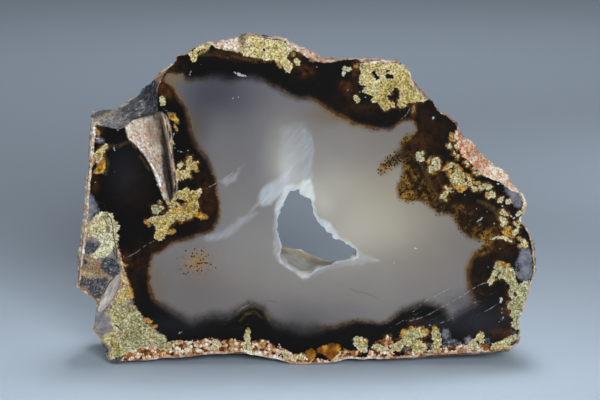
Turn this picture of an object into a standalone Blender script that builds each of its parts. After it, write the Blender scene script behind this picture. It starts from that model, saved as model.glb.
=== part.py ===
"""A thick slice of agate, sawn and polished on its front, that stands on the flats of its natural rim.

The polished face looks along -Y. The origin is at the middle of the base, with +Z up.
The outlines were read as pixels of a photograph of the slice. spot() turns each into a place on the
stone, for the camera that the photograph was taken with, so the stone has its real size in metres.
"""

import math

import bmesh
import bpy
from mathutils import Vector, noise

MM = 0.001

# Driving dimensions.
FACE_WIDTH = 92 * MM
THICKNESS = 20 * MM
FRONT_Y = -THICKNESS / 2

# How the photograph saw the slice: FACE_WIDTH spans FACE_PIXELS of its columns.
FACE_PIXELS = 460
PIXEL = FACE_WIDTH / FACE_PIXELS
PHOTO_MIDDLE = (300, 200)
ORIGIN_COLUMN = 305
VIEW_DISTANCE = 450 * MM
VIEW_TILT = math.radians(10)
VIEW_HEIGHT = 33.9 * MM

# The rim, clockwise from its top left corner: (column, row), and in millimetres how far behind the
# polished face the edge lies where the rim is chipped.
RIM = [
    (92, 116), (96, 114, 1), (100, 113.5, 3), (106, 112.5, 4), (112, 110, 5), (119, 105, 5),
    (125, 101, 6), (130, 96, 6), (135, 90, 6), (140, 85.5, 6), (145, 82.5, 6), (150, 80, 5),
    (154, 77, 4), (158, 73.5, 2), (162, 71, 1), (166, 69.5), (170, 67), (174, 63.5),
    (176, 60), (176, 56.5), (179, 54.5), (183, 55), (186, 54), (189, 51.5),
    (193, 48.5), (197, 46), (202, 44.5), (207, 43), (211, 42.5), (214, 44.5),
    (216, 45.5), (217, 41.5, 2), (220, 39.5, 2.5), (225, 38, 2.5), (230, 37, 2.5), (235, 35.5, 2),
    (240, 35, 1.5), (246, 34.5), (255, 35), (263, 36.5), (271, 37.5), (279, 37.5),
    (285, 39), (289, 42), (294, 43.5, 1.5), (299, 45, 2), (305, 47, 2), (310, 50, 2),
    (316, 52.5, 2), (322, 55, 1.5), (328, 57.5, 1), (333, 59.5), (340, 59.5), (347, 58.5),
    (354, 58), (358, 58.5), (361, 60.5), (367, 61.5), (375, 62), (383, 61.5),
    (390, 62), (396, 61.5), (401, 63), (405, 65.5), (409, 70), (411, 76),
    (413, 82), (414, 88), (417, 91), (421, 93.5), (424, 97.5), (430, 98.5),
    (433, 101.5), (435, 106), (438, 110.5), (442, 113.5), (446, 115), (450, 118.5),
    (454, 122), (457, 126), (459, 129), (462, 132, 1.5), (467, 135.5, 3), (472, 138.5, 3.5),
    (477, 141.5, 3.5), (481, 147, 3.5), (486, 152.5, 3.5), (491, 159, 3.5), (496, 164, 3.5), (501, 169, 3),
    (506, 174, 2.5), (511, 180, 2), (515, 186, 1), (518, 190), (522, 193), (525, 198),
    (527, 203), (526, 209), (524, 214), (521, 219), (523, 224), (527, 229),
    (530, 235), (532, 242), (533.5, 250), (534, 258), (535, 266), (535, 272),
    (533, 279), (530, 285), (529, 292), (527, 299), (525, 305), (523, 311),
    (520, 317), (519, 324), (520, 331), (520.5, 338), (518, 344), (512, 349),
    (503, 350.5), (490, 352), (478, 352.5), (465, 353), (450, 354), (437, 354.5),
    (425, 355.5), (415, 357), (405, 358), (392, 358.5), (380, 359), (370, 358.5),
    (363, 359.5), (352, 358.5), (345, 359), (339, 361), (332, 362.5), (322, 363.5),
    (310, 364), (300, 364), (290, 363.5), (283, 361), (277, 359), (268, 357.5),
    (258, 355.5), (250, 354.5), (243, 352), (236, 352), (226, 354), (215, 353.5),
    (203, 354.5), (190, 356.5), (175, 358), (165, 357.5), (153, 359.5), (140, 360.5),
    (127, 361), (119, 363), (111, 362.5), (108, 359), (105.5, 353), (103, 346),
    (100, 339), (96, 333), (92.5, 329), (94.5, 322), (95, 313), (97, 305),
    (95, 301), (91, 297.5), (86, 293.5), (80, 289.5), (76, 286), (75, 281),
    (76, 270), (77, 258), (79, 245), (80, 235), (82, 218), (83, 205),
    (84, 190), (85, 178), (86, 165), (87, 150), (88, 135), (89.5, 122),
]
RIM_SPACING = 1.45 * MM

# The rim's wall, from the polished face to the sawn back.
WALL_DEPTHS = [0, 0.7, 1.8, 3.2, 5, 7, 9, 11, 13.2, 15.4, 17.6, 19.2, 20]
WALL_SHRINK = (0.062, 0.058)
WALL_LUMPS = ((0.95 * MM, 9 * MM), (0.6 * MM, 4.2 * MM), (0.35 * MM, 2.2 * MM))
LUMPS_START = 3.5 * MM
LUMPS_SUNK = 0.35 * MM

# Further back the wall follows the rim's small notches less: how many neighbours it is evened out
# over, how far, and the depth where that is complete.
EVENING = 6
EVENED = 0.85
EVENED_DEPTH = 9 * MM

# The underside: where the wall's lower edge comes down to the surface that the stone stands on.
FOOT_TOP = 5.5 * MM
FOOT_BLEND = 2.5 * MM
FOOT_START = 6 * MM
FOOT_SUNK = 0.35 * MM
HEEL_RISE = 1.2 * MM

# The open cavity: its rim on the polished face and its mouth on the sawn back, both clockwise from
# the top.
CAVITY_MIDDLE = (305, 238)
CAVITY_RIM = [
    (288, 191), (293, 190), (298, 188), (300, 192), (304, 196), (308, 200),
    (311, 202), (312, 207), (315, 213), (318, 219), (322, 223), (326, 229),
    (331, 235), (336, 240), (342, 241.5), (348, 244), (353, 248), (357, 252),
    (357, 257), (350, 260), (340, 261), (333, 263), (325, 266.5), (318, 269.5),
    (311, 273), (304, 277), (301, 274), (297, 269), (291, 265), (285, 262),
    (281, 258), (281, 252), (281, 246), (279, 239), (278, 232), (277, 225),
    (278, 218), (279, 211), (283, 207), (284, 203), (286, 198), (287, 194),
]
CAVITY_BACK = [
    (286, 180), (300, 175), (314, 184), (322, 196), (330, 210), (340, 222),
    (352, 232), (364, 242), (366, 254), (360, 266), (350, 270), (341, 266),
    (335, 262), (328, 260.5), (320, 258.5), (312, 254.5), (305, 251.5), (298, 249),
    (290, 247.5), (281, 246.5), (272, 244), (270, 230), (271, 215), (275, 200),
    (280, 188),
]
CAVITY_STEPS = 64
CAVITY_DEPTHS = [1.2, 2.8, 5, 8, 11, 14, 17, 20]
CAVITY_BEVEL = 0.85 * MM
CAVITY_BULGE = 1.1 * MM
CAVITY_LUMPS = (0.35 * MM, 2.4 * MM)
CAVITY_SPARE = 1.5 * MM

# Chips along the rim: the edge of what is left of the polished face, the edge of the stone beside
# it, and how steeply the broken surface runs back.
CHIP_STEPS = 26
CHIP_ROWS = 7
CHIP_SPARE = 2.2 * MM
CHIP_LUMPS = ((0.4 * MM, 3 * MM), (0.18 * MM, 1.1 * MM))
CHIPS = {
    "grey_corner": (
        [(90, 119), (99, 125), (109, 127), (118, 129.5), (126, 127), (134, 121), (146, 118),
         (158, 112), (157.5, 100), (157.5, 88), (161, 80), (166, 70)],
        [(90, 117), (97, 114), (106, 112.5), (112, 110), (120, 104.5), (127, 99), (134, 91),
         (140, 85.5), (145, 82.5), (150, 80), (156, 75), (165, 69)],
        1.25,
    ),
    "top_left_crust": (
        [(215, 46), (222, 47.5), (230, 49.5), (238, 51), (243, 48), (246, 40), (249, 35)],
        [(215, 44), (219, 40), (224, 38.2), (230, 37), (236, 35.2), (242, 34.8), (249, 34.2)],
        1.2,
    ),
    "top_crust": (
        [(288, 42), (294, 47), (301, 51), (308, 56), (316, 60), (325, 61.5), (335, 60)],
        [(288, 41), (295, 43.7), (301, 45.5), (308, 48.5), (316, 52.5), (325, 56), (335, 59)],
        1.5,
    ),
    "right_crust": (
        [(458, 129), (458, 138), (463, 146), (467, 155), (474, 165), (482, 174), (491, 178),
         (500, 181), (508, 187), (518, 192)],
        [(460, 129), (466, 135), (473, 139), (480, 145.5), (487, 154), (494, 162), (501, 169),
         (507, 175), (512, 182), (519, 190)],
        1.2,
    ),
    "left_bevel": (
        [(79, 283), (81, 262), (83.5, 240), (86, 218), (87, 200), (88.5, 180), (90.5, 160),
         (91.5, 145), (93, 130), (92.5, 119)],
        [(75, 283), (76.5, 262), (79.5, 240), (82, 218), (83.5, 200), (85, 180), (86.5, 160),
         (87.2, 145), (88.5, 130), (91.5, 117)],
        1.6,
    ),
}

# The open fissure: its left and right lips and its floor, from the top down, and the floor's depth.
FISSURE_LEFT = [
    (124, 119), (127, 127), (128, 136), (134, 142), (140, 147), (146, 154), (151, 162),
    (156, 171), (160, 179), (162, 188), (165, 196), (169, 201.5),
]
FISSURE_FLOOR = [
    (158, 113), (161, 122), (163, 134), (164.5, 145), (166, 156), (167.5, 166), (168.5, 174),
    (169.5, 181), (170, 187), (170.5, 192), (170.5, 197), (170, 201.5),
]
FISSURE_RIGHT = [
    (160, 111), (164, 121), (166, 133), (168, 144), (169, 155), (171, 165), (172.5, 173),
    (173.5, 180), (174, 186), (174, 191), (173, 196.5), (171, 202),
]
FISSURE_DEPTHS = (7.5 * MM, 4 * MM)
FISSURE_STEPS = 22
FISSURE_ROWS = (7, 4)
FISSURE_LUMPS = (0.3 * MM, 1.6 * MM)

# The trough that crosses the lower left corner.
TROUGH_ENDS = ((123, 266), (91, 319))
TROUGH_RADIUS = 2.3 * MM
TROUGH_LIFT = 1.6 * MM


def collection(name):
    """A new collection in the scene."""
    made = bpy.data.collections.new(name)
    bpy.context.scene.collection.children.link(made)
    return made


def spot(column, row, depth=0.0):
    """The (x, z) that this pixel shows, at a depth behind the polished face."""
    across = (column - PHOTO_MIDDLE[0]) * PIXEL / VIEW_DISTANCE
    up = (PHOTO_MIDDLE[1] - row) * PIXEL / VIEW_DISTANCE
    forward = math.cos(VIEW_TILT) + up * math.sin(VIEW_TILT)
    rise = up * math.cos(VIEW_TILT) - math.sin(VIEW_TILT)
    reach = (VIEW_DISTANCE * math.cos(VIEW_TILT) + depth) / forward
    camera_x = (PHOTO_MIDDLE[0] - ORIGIN_COLUMN) * PIXEL
    camera_z = VIEW_HEIGHT + VIEW_DISTANCE * math.sin(VIEW_TILT)
    return Vector((camera_x + across * reach, camera_z + rise * reach))


def spots(pixels, depth=0.0):
    """spot() of each pixel of a list."""
    return [spot(column, row, depth) for column, row in pixels]


def smoothstep(value):
    """0 to 1 with level ends."""
    value = min(1.0, max(0.0, value))
    return value * value * (3 - 2 * value)


def lump(place, size):
    """Smooth noise of about -1 to 1 whose bumps measure about size."""
    return 1.6 * noise.noise(place / size)


def along(points, share):
    """The point at a share, from 0 to 1, of the number of steps along a list."""
    at = share * (len(points) - 1)
    first = min(int(at), len(points) - 2)
    return points[first].lerp(points[first + 1], at - first)


def loft(name, sections, into):
    """A closed solid through rings of equal count, with flat ends."""
    shape = bmesh.new()
    rings = [[shape.verts.new(place) for place in ring] for ring in sections]
    count = len(rings[0])
    for near, far in zip(rings, rings[1:]):
        for i in range(count):
            j = (i + 1) % count
            shape.faces.new((near[i], near[j], far[j], far[i]))
    shape.faces.new(rings[0])
    shape.faces.new(rings[-1])
    bmesh.ops.recalc_face_normals(shape, faces=shape.faces)
    mesh = bpy.data.meshes.new(name)
    shape.to_mesh(mesh)
    shape.free()
    made = bpy.data.objects.new(name, mesh)
    into.objects.link(made)
    return made


def rim_points():
    """The rim as evenly filled points, each as (x, z)."""
    corners = [spot(p[0], p[1], (p[2] if len(p) > 2 else 0) * MM) for p in RIM]
    filled = []
    for here, there in zip(corners, corners[1:] + corners[:1]):
        parts = max(1, round((there - here).length / RIM_SPACING))
        filled += [here.lerp(there, part / parts) for part in range(parts)]
    return filled


def evened(points):
    """Each point of a closed outline as the mean of itself and its neighbours."""
    count, reach = len(points), range(-EVENING, EVENING + 1)
    return [sum((points[(i + k) % count] for k in reach), Vector((0, 0))) / len(reach) for i in range(count)]


def wall_place(point, outward, depth):
    """Where a point of the rim's wall lies at a depth behind the polished face."""
    share = depth / THICKNESS
    narrowing = 0.4 * share + 0.6 * share**3
    x = point.x * (1 - WALL_SHRINK[0] * narrowing)
    z = point.y * (1 - WALL_SHRINK[1] * narrowing)
    place = Vector((x, FRONT_Y + depth, z))
    swell = sum(height * lump(place, size) for height, size in WALL_LUMPS)
    swell = swell * smoothstep(depth / LUMPS_START) - LUMPS_SUNK * smoothstep(depth / EVENED_DEPTH)
    place += Vector((outward.x, 0, outward.y)) * swell
    foot = smoothstep((FOOT_TOP - point.y) / FOOT_BLEND) * smoothstep(depth / FOOT_START)
    if outward.y < 0:
        heel = HEEL_RISE * smoothstep((share - 0.8) / 0.2)
        place.z += foot * (heel - FOOT_SUNK - point.y - 0.4 * max(0.0, swell))
    return Vector((place.x, place.y, max(place.z, 0.0)))


def make_body(into):
    """The slice without its hollows: a loft of the rim, lumpy outside and flat on both sawn faces."""
    rim = rim_points()
    even = evened(rim)
    count = len(rim)
    outward = []
    for i in range(count):
        run = rim[(i + 3) % count] - rim[i - 3]
        outward.append(Vector((-run.y, run.x)).normalized())
    sections = []
    for depth in [depth * MM for depth in WALL_DEPTHS]:
        share = EVENED * smoothstep(depth / EVENED_DEPTH)
        ring = [here.lerp(soft, share) for here, soft in zip(rim, even)]
        sections.append([wall_place(p, n, depth) for p, n in zip(ring, outward)])
    return loft("agate", sections, into)


def radius_at(outline, middle, angle):
    """How far a closed outline lies from its middle, in a direction."""
    ray = Vector((math.cos(angle), math.sin(angle)))
    for here, there in zip(outline, outline[1:] + outline[:1]):
        side = there - here
        across = ray.x * side.y - ray.y * side.x
        if abs(across) < 1e-12:
            continue
        start = here - middle
        share = (start.x * ray.y - start.y * ray.x) / across
        reach = (start.x * side.y - start.y * side.x) / across
        if 0 <= share <= 1 and reach > 0:
            return reach
    raise ValueError("the outline doesn't surround its middle")


def cavity_cutter(into):
    """The cavity that runs right through, with a chipped bevel round its front rim."""
    front, back = spots(CAVITY_RIM), spots(CAVITY_BACK, THICKNESS)
    front_middle, back_middle = spot(*CAVITY_MIDDLE), spot(*CAVITY_MIDDLE, THICKNESS)
    height, size = CAVITY_LUMPS

    def ring(depth, share, wider):
        middle = front_middle.lerp(back_middle, share)
        places = []
        for step in range(CAVITY_STEPS):
            angle = 2 * math.pi * step / CAVITY_STEPS
            reach = radius_at(front, front_middle, angle) * (1 - share)
            reach += radius_at(back, back_middle, angle) * share
            flat = middle + Vector((math.cos(angle), math.sin(angle))) * reach
            place = Vector((flat.x, FRONT_Y + depth, flat.y))
            reach += wider * (1 + 0.6 * lump(place, size))
            if share > 0:
                reach += CAVITY_BULGE * math.sin(math.pi * share) + height * lump(place, size)
            flat = middle + Vector((math.cos(angle), math.sin(angle))) * reach
            places.append(Vector((flat.x, FRONT_Y + depth, flat.y)))
        return places

    first = CAVITY_DEPTHS[0] * MM
    sections = [ring(-CAVITY_SPARE, 0, CAVITY_BEVEL * 2), ring(0, 0, CAVITY_BEVEL), ring(first, 0, 0)]
    for depth in CAVITY_DEPTHS[1:]:
        share = (depth * MM - first) / (THICKNESS - first)
        sections.append(ring(depth * MM, share, 0))
    sections.append(ring(THICKNESS + CAVITY_SPARE, 1, 0))
    return loft("cavity", sections, into)


def chip_cutter(name, inner, outer, slope, into):
    """What a chip took off: a rough surface from the inner edge back to the rim, and all before it."""
    inner, outer = spots(inner), [Vector(p) for p in outer]
    sections = []
    for step in range(CHIP_STEPS + 1):
        share = step / CHIP_STEPS
        near, pixel = along(inner, share), along(outer, share)
        width = (spot(*pixel) - near).length
        far = spot(*pixel, slope * width)
        start = Vector((near.x, FRONT_Y, near.y))
        run = Vector((far.x, FRONT_Y + slope * width, far.y)) - start
        reach = max(run.length, 0.3 * MM)
        run.normalize()
        up = Vector((run.x, 0, run.z)).normalized().lerp(Vector((0, -1, 0)), 0.5).normalized()
        ring = [start - run * CHIP_SPARE, start]
        for row in range(1, CHIP_ROWS + 1):
            place = start + run * (reach + CHIP_SPARE) * row / CHIP_ROWS
            fade = smoothstep(row / 3) * smoothstep(reach / MM)
            ring.append(place + up * fade * sum(h * lump(place, size) for h, size in CHIP_LUMPS))
        front = FRONT_Y - 2 * CHIP_SPARE
        ring += [Vector((ring[-1].x, front, ring[-1].z)), Vector((ring[0].x, front, ring[0].z))]
        sections.append(ring)
    return loft(name, sections, into)


def fissure_cutter(into):
    """The fissure: a valley with a broad left side, a steep right side and a narrow floor."""
    lips = spots(FISSURE_LEFT), spots(FISSURE_RIGHT)
    floor = [Vector(p) for p in FISSURE_FLOOR]
    height, size = FISSURE_LUMPS
    sections = []
    for step in range(FISSURE_STEPS + 1):
        share = step / FISSURE_STEPS
        depth = FISSURE_DEPTHS[0] * (1 - share) + FISSURE_DEPTHS[1] * share
        deepest = spot(*along(floor, share), depth)
        bottom = Vector((deepest.x, FRONT_Y + depth, deepest.y))
        ring = []
        for side, rows in enumerate(FISSURE_ROWS):
            lip = along(lips[side], share)
            lip = Vector((lip.x, FRONT_Y, lip.y))
            outside = lip + (lip - bottom) * 0.25
            slope = [outside] + [lip.lerp(bottom, row / rows) for row in range(rows)]
            for place in slope[2:]:
                place.y += height * lump(place, size)
            ring += slope if side == 0 else [bottom] + slope[::-1]
        sections.append(ring)
    return loft("fissure", sections, into)


def trough_cutter(into):
    """A round trough across the lower left corner."""
    start, end = (spot(*pixel) for pixel in TROUGH_ENDS)
    run = Vector((end.x - start.x, 0, end.y - start.y))
    middle = Vector(((start.x + end.x) / 2, FRONT_Y - TROUGH_LIFT, (start.y + end.y) / 2))
    bpy.ops.mesh.primitive_cylinder_add(
        vertices=40, radius=TROUGH_RADIUS, depth=run.length, location=middle
    )
    made = bpy.context.object
    made.name = "trough"
    made.rotation_mode = "QUATERNION"
    made.rotation_quaternion = run.to_track_quat("Z", "Y")
    made.users_collection[0].objects.unlink(made)
    into.objects.link(made)
    return made


def cut(body, cutter):
    """Takes a cutter out of the body, and keeps the cutter out of sight."""
    change = body.modifiers.new(cutter.name, "BOOLEAN")
    change.operation = "DIFFERENCE"
    change.solver = "EXACT"
    change.object = cutter
    cutter.hide_render = True
    cutter.display_type = "WIRE"


def stone_material():
    """Polished chalcedony, as one plain colour."""
    material = bpy.data.materials.new("chalcedony")
    material.use_nodes = True
    surface = material.node_tree.nodes["Principled BSDF"]
    surface.inputs["Base Color"].default_value = (0.20, 0.19, 0.17, 1)
    surface.inputs["Roughness"].default_value = 0.2
    surface.inputs["Metallic"].default_value = 0.0
    return material


def main():
    for existing in list(bpy.data.objects):
        bpy.data.objects.remove(existing)
    stone, cutters = collection("Agate"), collection("Cutters")
    body = make_body(stone)
    body.data.materials.append(stone_material())
    cut(body, cavity_cutter(cutters))
    for name, (inner, outer, slope) in CHIPS.items():
        cut(body, chip_cutter(name, inner, outer, slope, cutters))
    cut(body, fissure_cutter(cutters))
    cut(body, trough_cutter(cutters))


main()
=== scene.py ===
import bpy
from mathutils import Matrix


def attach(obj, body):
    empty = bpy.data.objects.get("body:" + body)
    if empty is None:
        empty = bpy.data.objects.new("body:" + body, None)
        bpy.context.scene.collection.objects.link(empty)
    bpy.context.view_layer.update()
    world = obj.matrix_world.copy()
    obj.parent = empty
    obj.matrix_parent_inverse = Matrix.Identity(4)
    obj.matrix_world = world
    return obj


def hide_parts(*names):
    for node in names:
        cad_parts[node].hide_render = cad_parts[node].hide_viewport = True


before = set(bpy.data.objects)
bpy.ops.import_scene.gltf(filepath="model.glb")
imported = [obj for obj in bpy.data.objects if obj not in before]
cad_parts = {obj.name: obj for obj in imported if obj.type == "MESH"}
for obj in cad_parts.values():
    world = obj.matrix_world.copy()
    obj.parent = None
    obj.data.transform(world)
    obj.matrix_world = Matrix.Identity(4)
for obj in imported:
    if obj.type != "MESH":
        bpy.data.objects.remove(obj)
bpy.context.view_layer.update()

import math

import bmesh
import bpy
import numpy as np
from mathutils import Vector, kdtree, noise
from mathutils.geometry import delaunay_2d_cdt

MM = 0.001

# The slice, as in the CAD model: its polished face looks along -Y.
FACE_WIDTH = 92 * MM
THICKNESS = 20 * MM
FRONT_Y = -THICKNESS / 2

# How the photograph saw it. Places on the stone are named by the photograph's pixels below, and
# the camera stands where it shows them there.
FACE_PIXELS = 460
PIXEL = FACE_WIDTH / FACE_PIXELS
PHOTO_SIZE = (600, 400)
PHOTO_MIDDLE = (300, 200)
ORIGIN_COLUMN = 305
VIEW_DISTANCE = 450 * MM
VIEW_TILT = math.radians(10)
VIEW_HEIGHT = 33.9 * MM
CAMERA_PLACE = (
    (PHOTO_MIDDLE[0] - ORIGIN_COLUMN) * PIXEL,
    FRONT_Y - VIEW_DISTANCE * math.cos(VIEW_TILT),
    VIEW_HEIGHT + VIEW_DISTANCE * math.sin(VIEW_TILT),
)

# How finely each part of the surface is divided.
FINE_EDGE = 0.46 * MM
COARSE_EDGE = 1.1 * MM
FINE_DEPTH = 3.5 * MM
RIM_EDGE = 0.3 * MM
BUSY_GAP = 0.31 * MM
CALM_GAP = 0.7 * MM
BACK_GAP = 0.9 * MM
SAME = 0.002 * MM

# The vector noise starts from the clock unless it is given a seed.
NOISE_SEED = 5

POLISHED, ROUGH, LINING, SAWN = range(4)

# The milky middle of the face, clockwise from its top left.
MILK = [
    (165, 72), (171, 72), (177, 74), (182, 74), (185, 79), (192, 80), (202, 79), (212, 77), (222, 77),
    (232, 78), (242, 78), (252, 77), (260, 79), (268, 82), (276, 87), (283, 91), (289, 95), (298, 98),
    (308, 98), (316, 101), (323, 105), (329, 109), (335, 113), (342, 116), (349, 121), (355, 124),
    (362, 126), (370, 128), (380, 129), (388, 129), (394, 126), (400, 122), (406, 119), (412, 120),
    (416, 124), (416, 130), (412, 135), (406, 138), (402, 143), (402, 150), (404, 157), (405, 165),
    (405, 173), (402, 181), (399, 188), (401, 195), (408, 199), (418, 199), (427, 200), (431, 205),
    (436, 210), (443, 213), (451, 213), (456, 217), (459, 224), (464, 230), (471, 234), (480, 237),
    (490, 240), (486, 246), (480, 252), (475, 256), (470.5, 262), (468.5, 270), (468.5, 280), (470, 290),
    (473, 298), (476, 304), (468, 309), (460, 313), (453, 318), (448, 316), (443, 310), (438, 306),
    (431, 303), (424, 303), (416, 306), (408, 309), (400, 312), (393, 317), (386, 322), (378, 323),
    (370, 322), (362, 321), (353, 322), (344, 324), (335, 327), (326, 328), (316, 329), (306, 330),
    (296, 329), (286, 327), (277, 325), (271, 321), (267, 315), (263, 309), (256, 306), (249, 305),
    (243, 308), (237, 312), (230, 316), (220, 317), (210, 317), (200, 319), (192, 322), (184, 319),
    (176, 314), (168, 309), (160, 305), (154, 301), (150.5, 293), (149, 283), (149, 272), (150.5, 262),
    (152, 255), (160, 252), (167, 248), (173, 243), (182, 240), (192, 237), (202, 234), (211, 230),
    (217, 222), (219, 212), (218, 198), (216, 184), (213, 172), (207, 160), (200, 150), (194, 141),
    (190, 130), (189, 118), (185, 106), (179, 99), (175, 93), (170, 84), (163, 79),
]

# Along the milk's edge: (column, row, how wide the change is in pixels, how amber it is).
FRINGE = [
    (175, 74, 4, 0.7), (195, 80, 7, 0.15), (220, 78, 10, 0.0), (250, 78, 8, 0.0), (275, 86, 6, 0.2),
    (300, 98, 7, 0.3), (325, 106, 7, 0.8), (345, 118, 6, 1.0), (362, 126, 5, 0.9), (385, 129, 5, 0.4),
    (404, 120, 4, 0.9), (415, 127, 4, 1.0), (402, 147, 5, 0.8), (404, 170, 6, 0.9), (400, 190, 6, 1.0),
    (430, 203, 4, 1.0), (457, 218, 5, 0.8), (470, 234, 6, 0.9), (488, 245, 6, 0.9), (470, 260, 7, 1.0),
    (467, 280, 7, 0.9), (472, 296, 9, 0.35), (465, 311, 9, 0.0), (446, 313, 8, 0.1), (430, 303, 7, 0.1),
    (405, 310, 7, 0.1), (385, 322, 5, 0.4), (360, 321, 5, 0.5), (340, 325, 7, 0.4), (300, 330, 15, 0.0),
    (275, 325, 10, 0.1), (255, 306, 8, 0.1), (215, 317, 12, 0.0), (190, 321, 11, 0.0), (165, 307, 9, 0.1),
    (151, 298, 5, 0.7), (149, 278, 4, 0.9), (152, 256, 4, 0.8), (170, 246, 4, 0.7), (200, 236, 5, 0.5),
    (215, 228, 5, 0.7), (219, 205, 4, 1.0), (216, 184, 4, 0.7), (208, 162, 7, 0.5), (196, 145, 7, 0.5),
    (189, 122, 7, 0.6), (172, 88, 5, 0.9),
]

# Soft spots: (column, row, reach across, reach up, strength).
# The milk's tone: partly its own lighter and darker parts, partly painted glow of light shining through the translucent
# milk.
MILK_TONE_AND_GLOW = [
    (348, 240, 30, 24, 0.2), (372, 205, 60, 45, 0.36), (395, 240, 50, 30, 0.14), (287, 160, 20, 30, 0.42),
    (300, 190, 22, 16, 0.25), (250, 235, 40, 30, 0.1), (330, 150, 40, 40, 0.1), (215, 90, 50, 28, -0.46),
    (235, 120, 60, 30, -0.12), (300, 322, 50, 16, -0.26), (190, 300, 50, 30, -0.14), (300, 250, 40, 40, 0.1),
    (462, 303, 18, 10, -0.35), (170, 79, 10, 8, -0.2), (322, 206, 12, 14, 0.2), (330, 185, 24, 24, 0.14),
    (272, 120, 24, 24, 0.1), (360, 285, 90, 30, 0.1), (240, 275, 30, 20, 0.08), (285, 168, 10, 10, 0.1),
    (154, 283, 12, 22, -0.16), (197, 130, 12, 24, -0.34), (332, 114, 20, 9, -0.2), (300, 318, 26, 12, -0.08),
]
WARMTH = [
    (154, 283, 10, 24, 0.6), (197, 130, 10, 22, 0.5), (332, 113, 24, 9, 0.9),
    (390, 190, 70, 60, 0.85), (340, 230, 50, 50, 0.05), (230, 190, 25, 40, 0.3), (170, 77, 14, 10, 1.6),
    (440, 250, 60, 40, 0.5), (290, 290, 150, 40, 0.4), (345, 120, 60, 20, 0.5), (190, 280, 50, 40, 0.25),
]
BROWN = [
    (305, 71, 8, 5, 1.4), (345, 84, 5, 5, 1.2), (350, 93, 9, 6, 0.6), (356, 68, 3, 10, 2.0),
    (425, 128, 22, 22, 0.3), (418, 146, 14, 12, 0.5), (450, 196, 26, 14, 0.1), (465, 216, 20, 12, 0.5),
    (430, 182, 14, 18, 0.6), (135, 188, 16, 20, 0.12), (207, 200, 10, 26, 0.5),
    (142, 262, 12, 12, 0.35), (133, 290, 5, 16, 0.2), (495, 250, 22, 10, 0.5), (507, 308, 7, 10, 0.8),
    (478, 285, 12, 14, 0.3), (165, 90, 8, 8, 1.6), (172, 66, 10, 6, 0.5), (235, 53, 30, 3, 0.8),
    (262, 58, 30, 3, 0.7), (300, 52, 8, 5, 1.2), (500, 225, 14, 14, 0.4), (365, 108, 14, 6, 0.3),
    (330, 110, 30, 10, 0.2), (415, 322, 8, 4, 0.6), (170, 246, 20, 6, 0.5), (505, 333, 26, 5, 0.7),
    (414, 109, 3, 8, 1.6), (123, 262, 7, 7, 1.6), (96, 131, 5, 6, 1.8), (94, 184, 4, 8, 0.8),
]
# Painted sheen: where the dark agate is painted a little lighter and bluish, for a faint reflection on its polish.
PAINTED_SHEEN = [(480, 320, 26, 14, 0.22), (125, 172, 16, 26, 0.12), (175, 325, 30, 10, 0.08), (440, 324, 20, 6, 0.15)]
# Olive and brown rings and ribbons in the dark agate, as strokes: lists of (column, row, radius).
RINGS = [
    [(236, 315, 1), (241, 309, 1.6), (248, 305, 1.6), (257, 306, 1.6), (265, 311, 1.4), (270, 320, 1)],
    [(240, 321, 0.8), (246, 314, 1.2), (255, 312, 1.2), (262, 318, 0.8)],
    [(104, 152, 0.8), (111, 146, 1.2), (119, 146, 1), (126, 142.5, 1.6), (131, 142, 1.6), (136, 148, 1)],
    [(140, 156, 0.8), (145, 163, 1.2), (149, 170, 1)], [(105, 155, 1), (108, 164, 1.2), (106, 174, 1)],
    [(408, 152, 1), (416, 158, 1.4), (423, 168, 1.6), (428, 178, 1.4), (433, 190, 1.2), (441, 203, 1)],
    [(478, 201, 1.2), (488, 205, 2), (496, 211, 2), (500, 220, 1.6)], [(443, 188, 1), (438, 178, 1.4)],
    [(196, 55, 0.8), (206, 54, 1.2), (216, 55, 1), (228, 58, 0.8)], [(232, 56, 0.8), (244, 59, 1), (256, 62, 0.8)],
    [(172, 82, 1), (178, 92, 1.2), (183, 104, 1)], [(330, 322, 0.8), (345, 317, 1), (362, 316, 0.8)],
]

# Amber haze with black specks in it, as strokes: lists of (column, row, radius).
MOSS = [
    [(383, 169, 4), (390, 163, 5), (398, 157, 6)],
    [(405, 141, 2), (408, 138, 1)],
    [(405, 156, 2), (409, 168, 5), (411, 182, 8), (408, 192, 9)],
    [(420, 188, 8), (427, 194, 6), (434, 203, 5), (441, 210, 4)],
    [(458, 212, 6), (466, 220, 9), (474, 228, 10), (486, 233, 8)],
    [(487, 245, 4), (481, 252, 2)],
]

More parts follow.
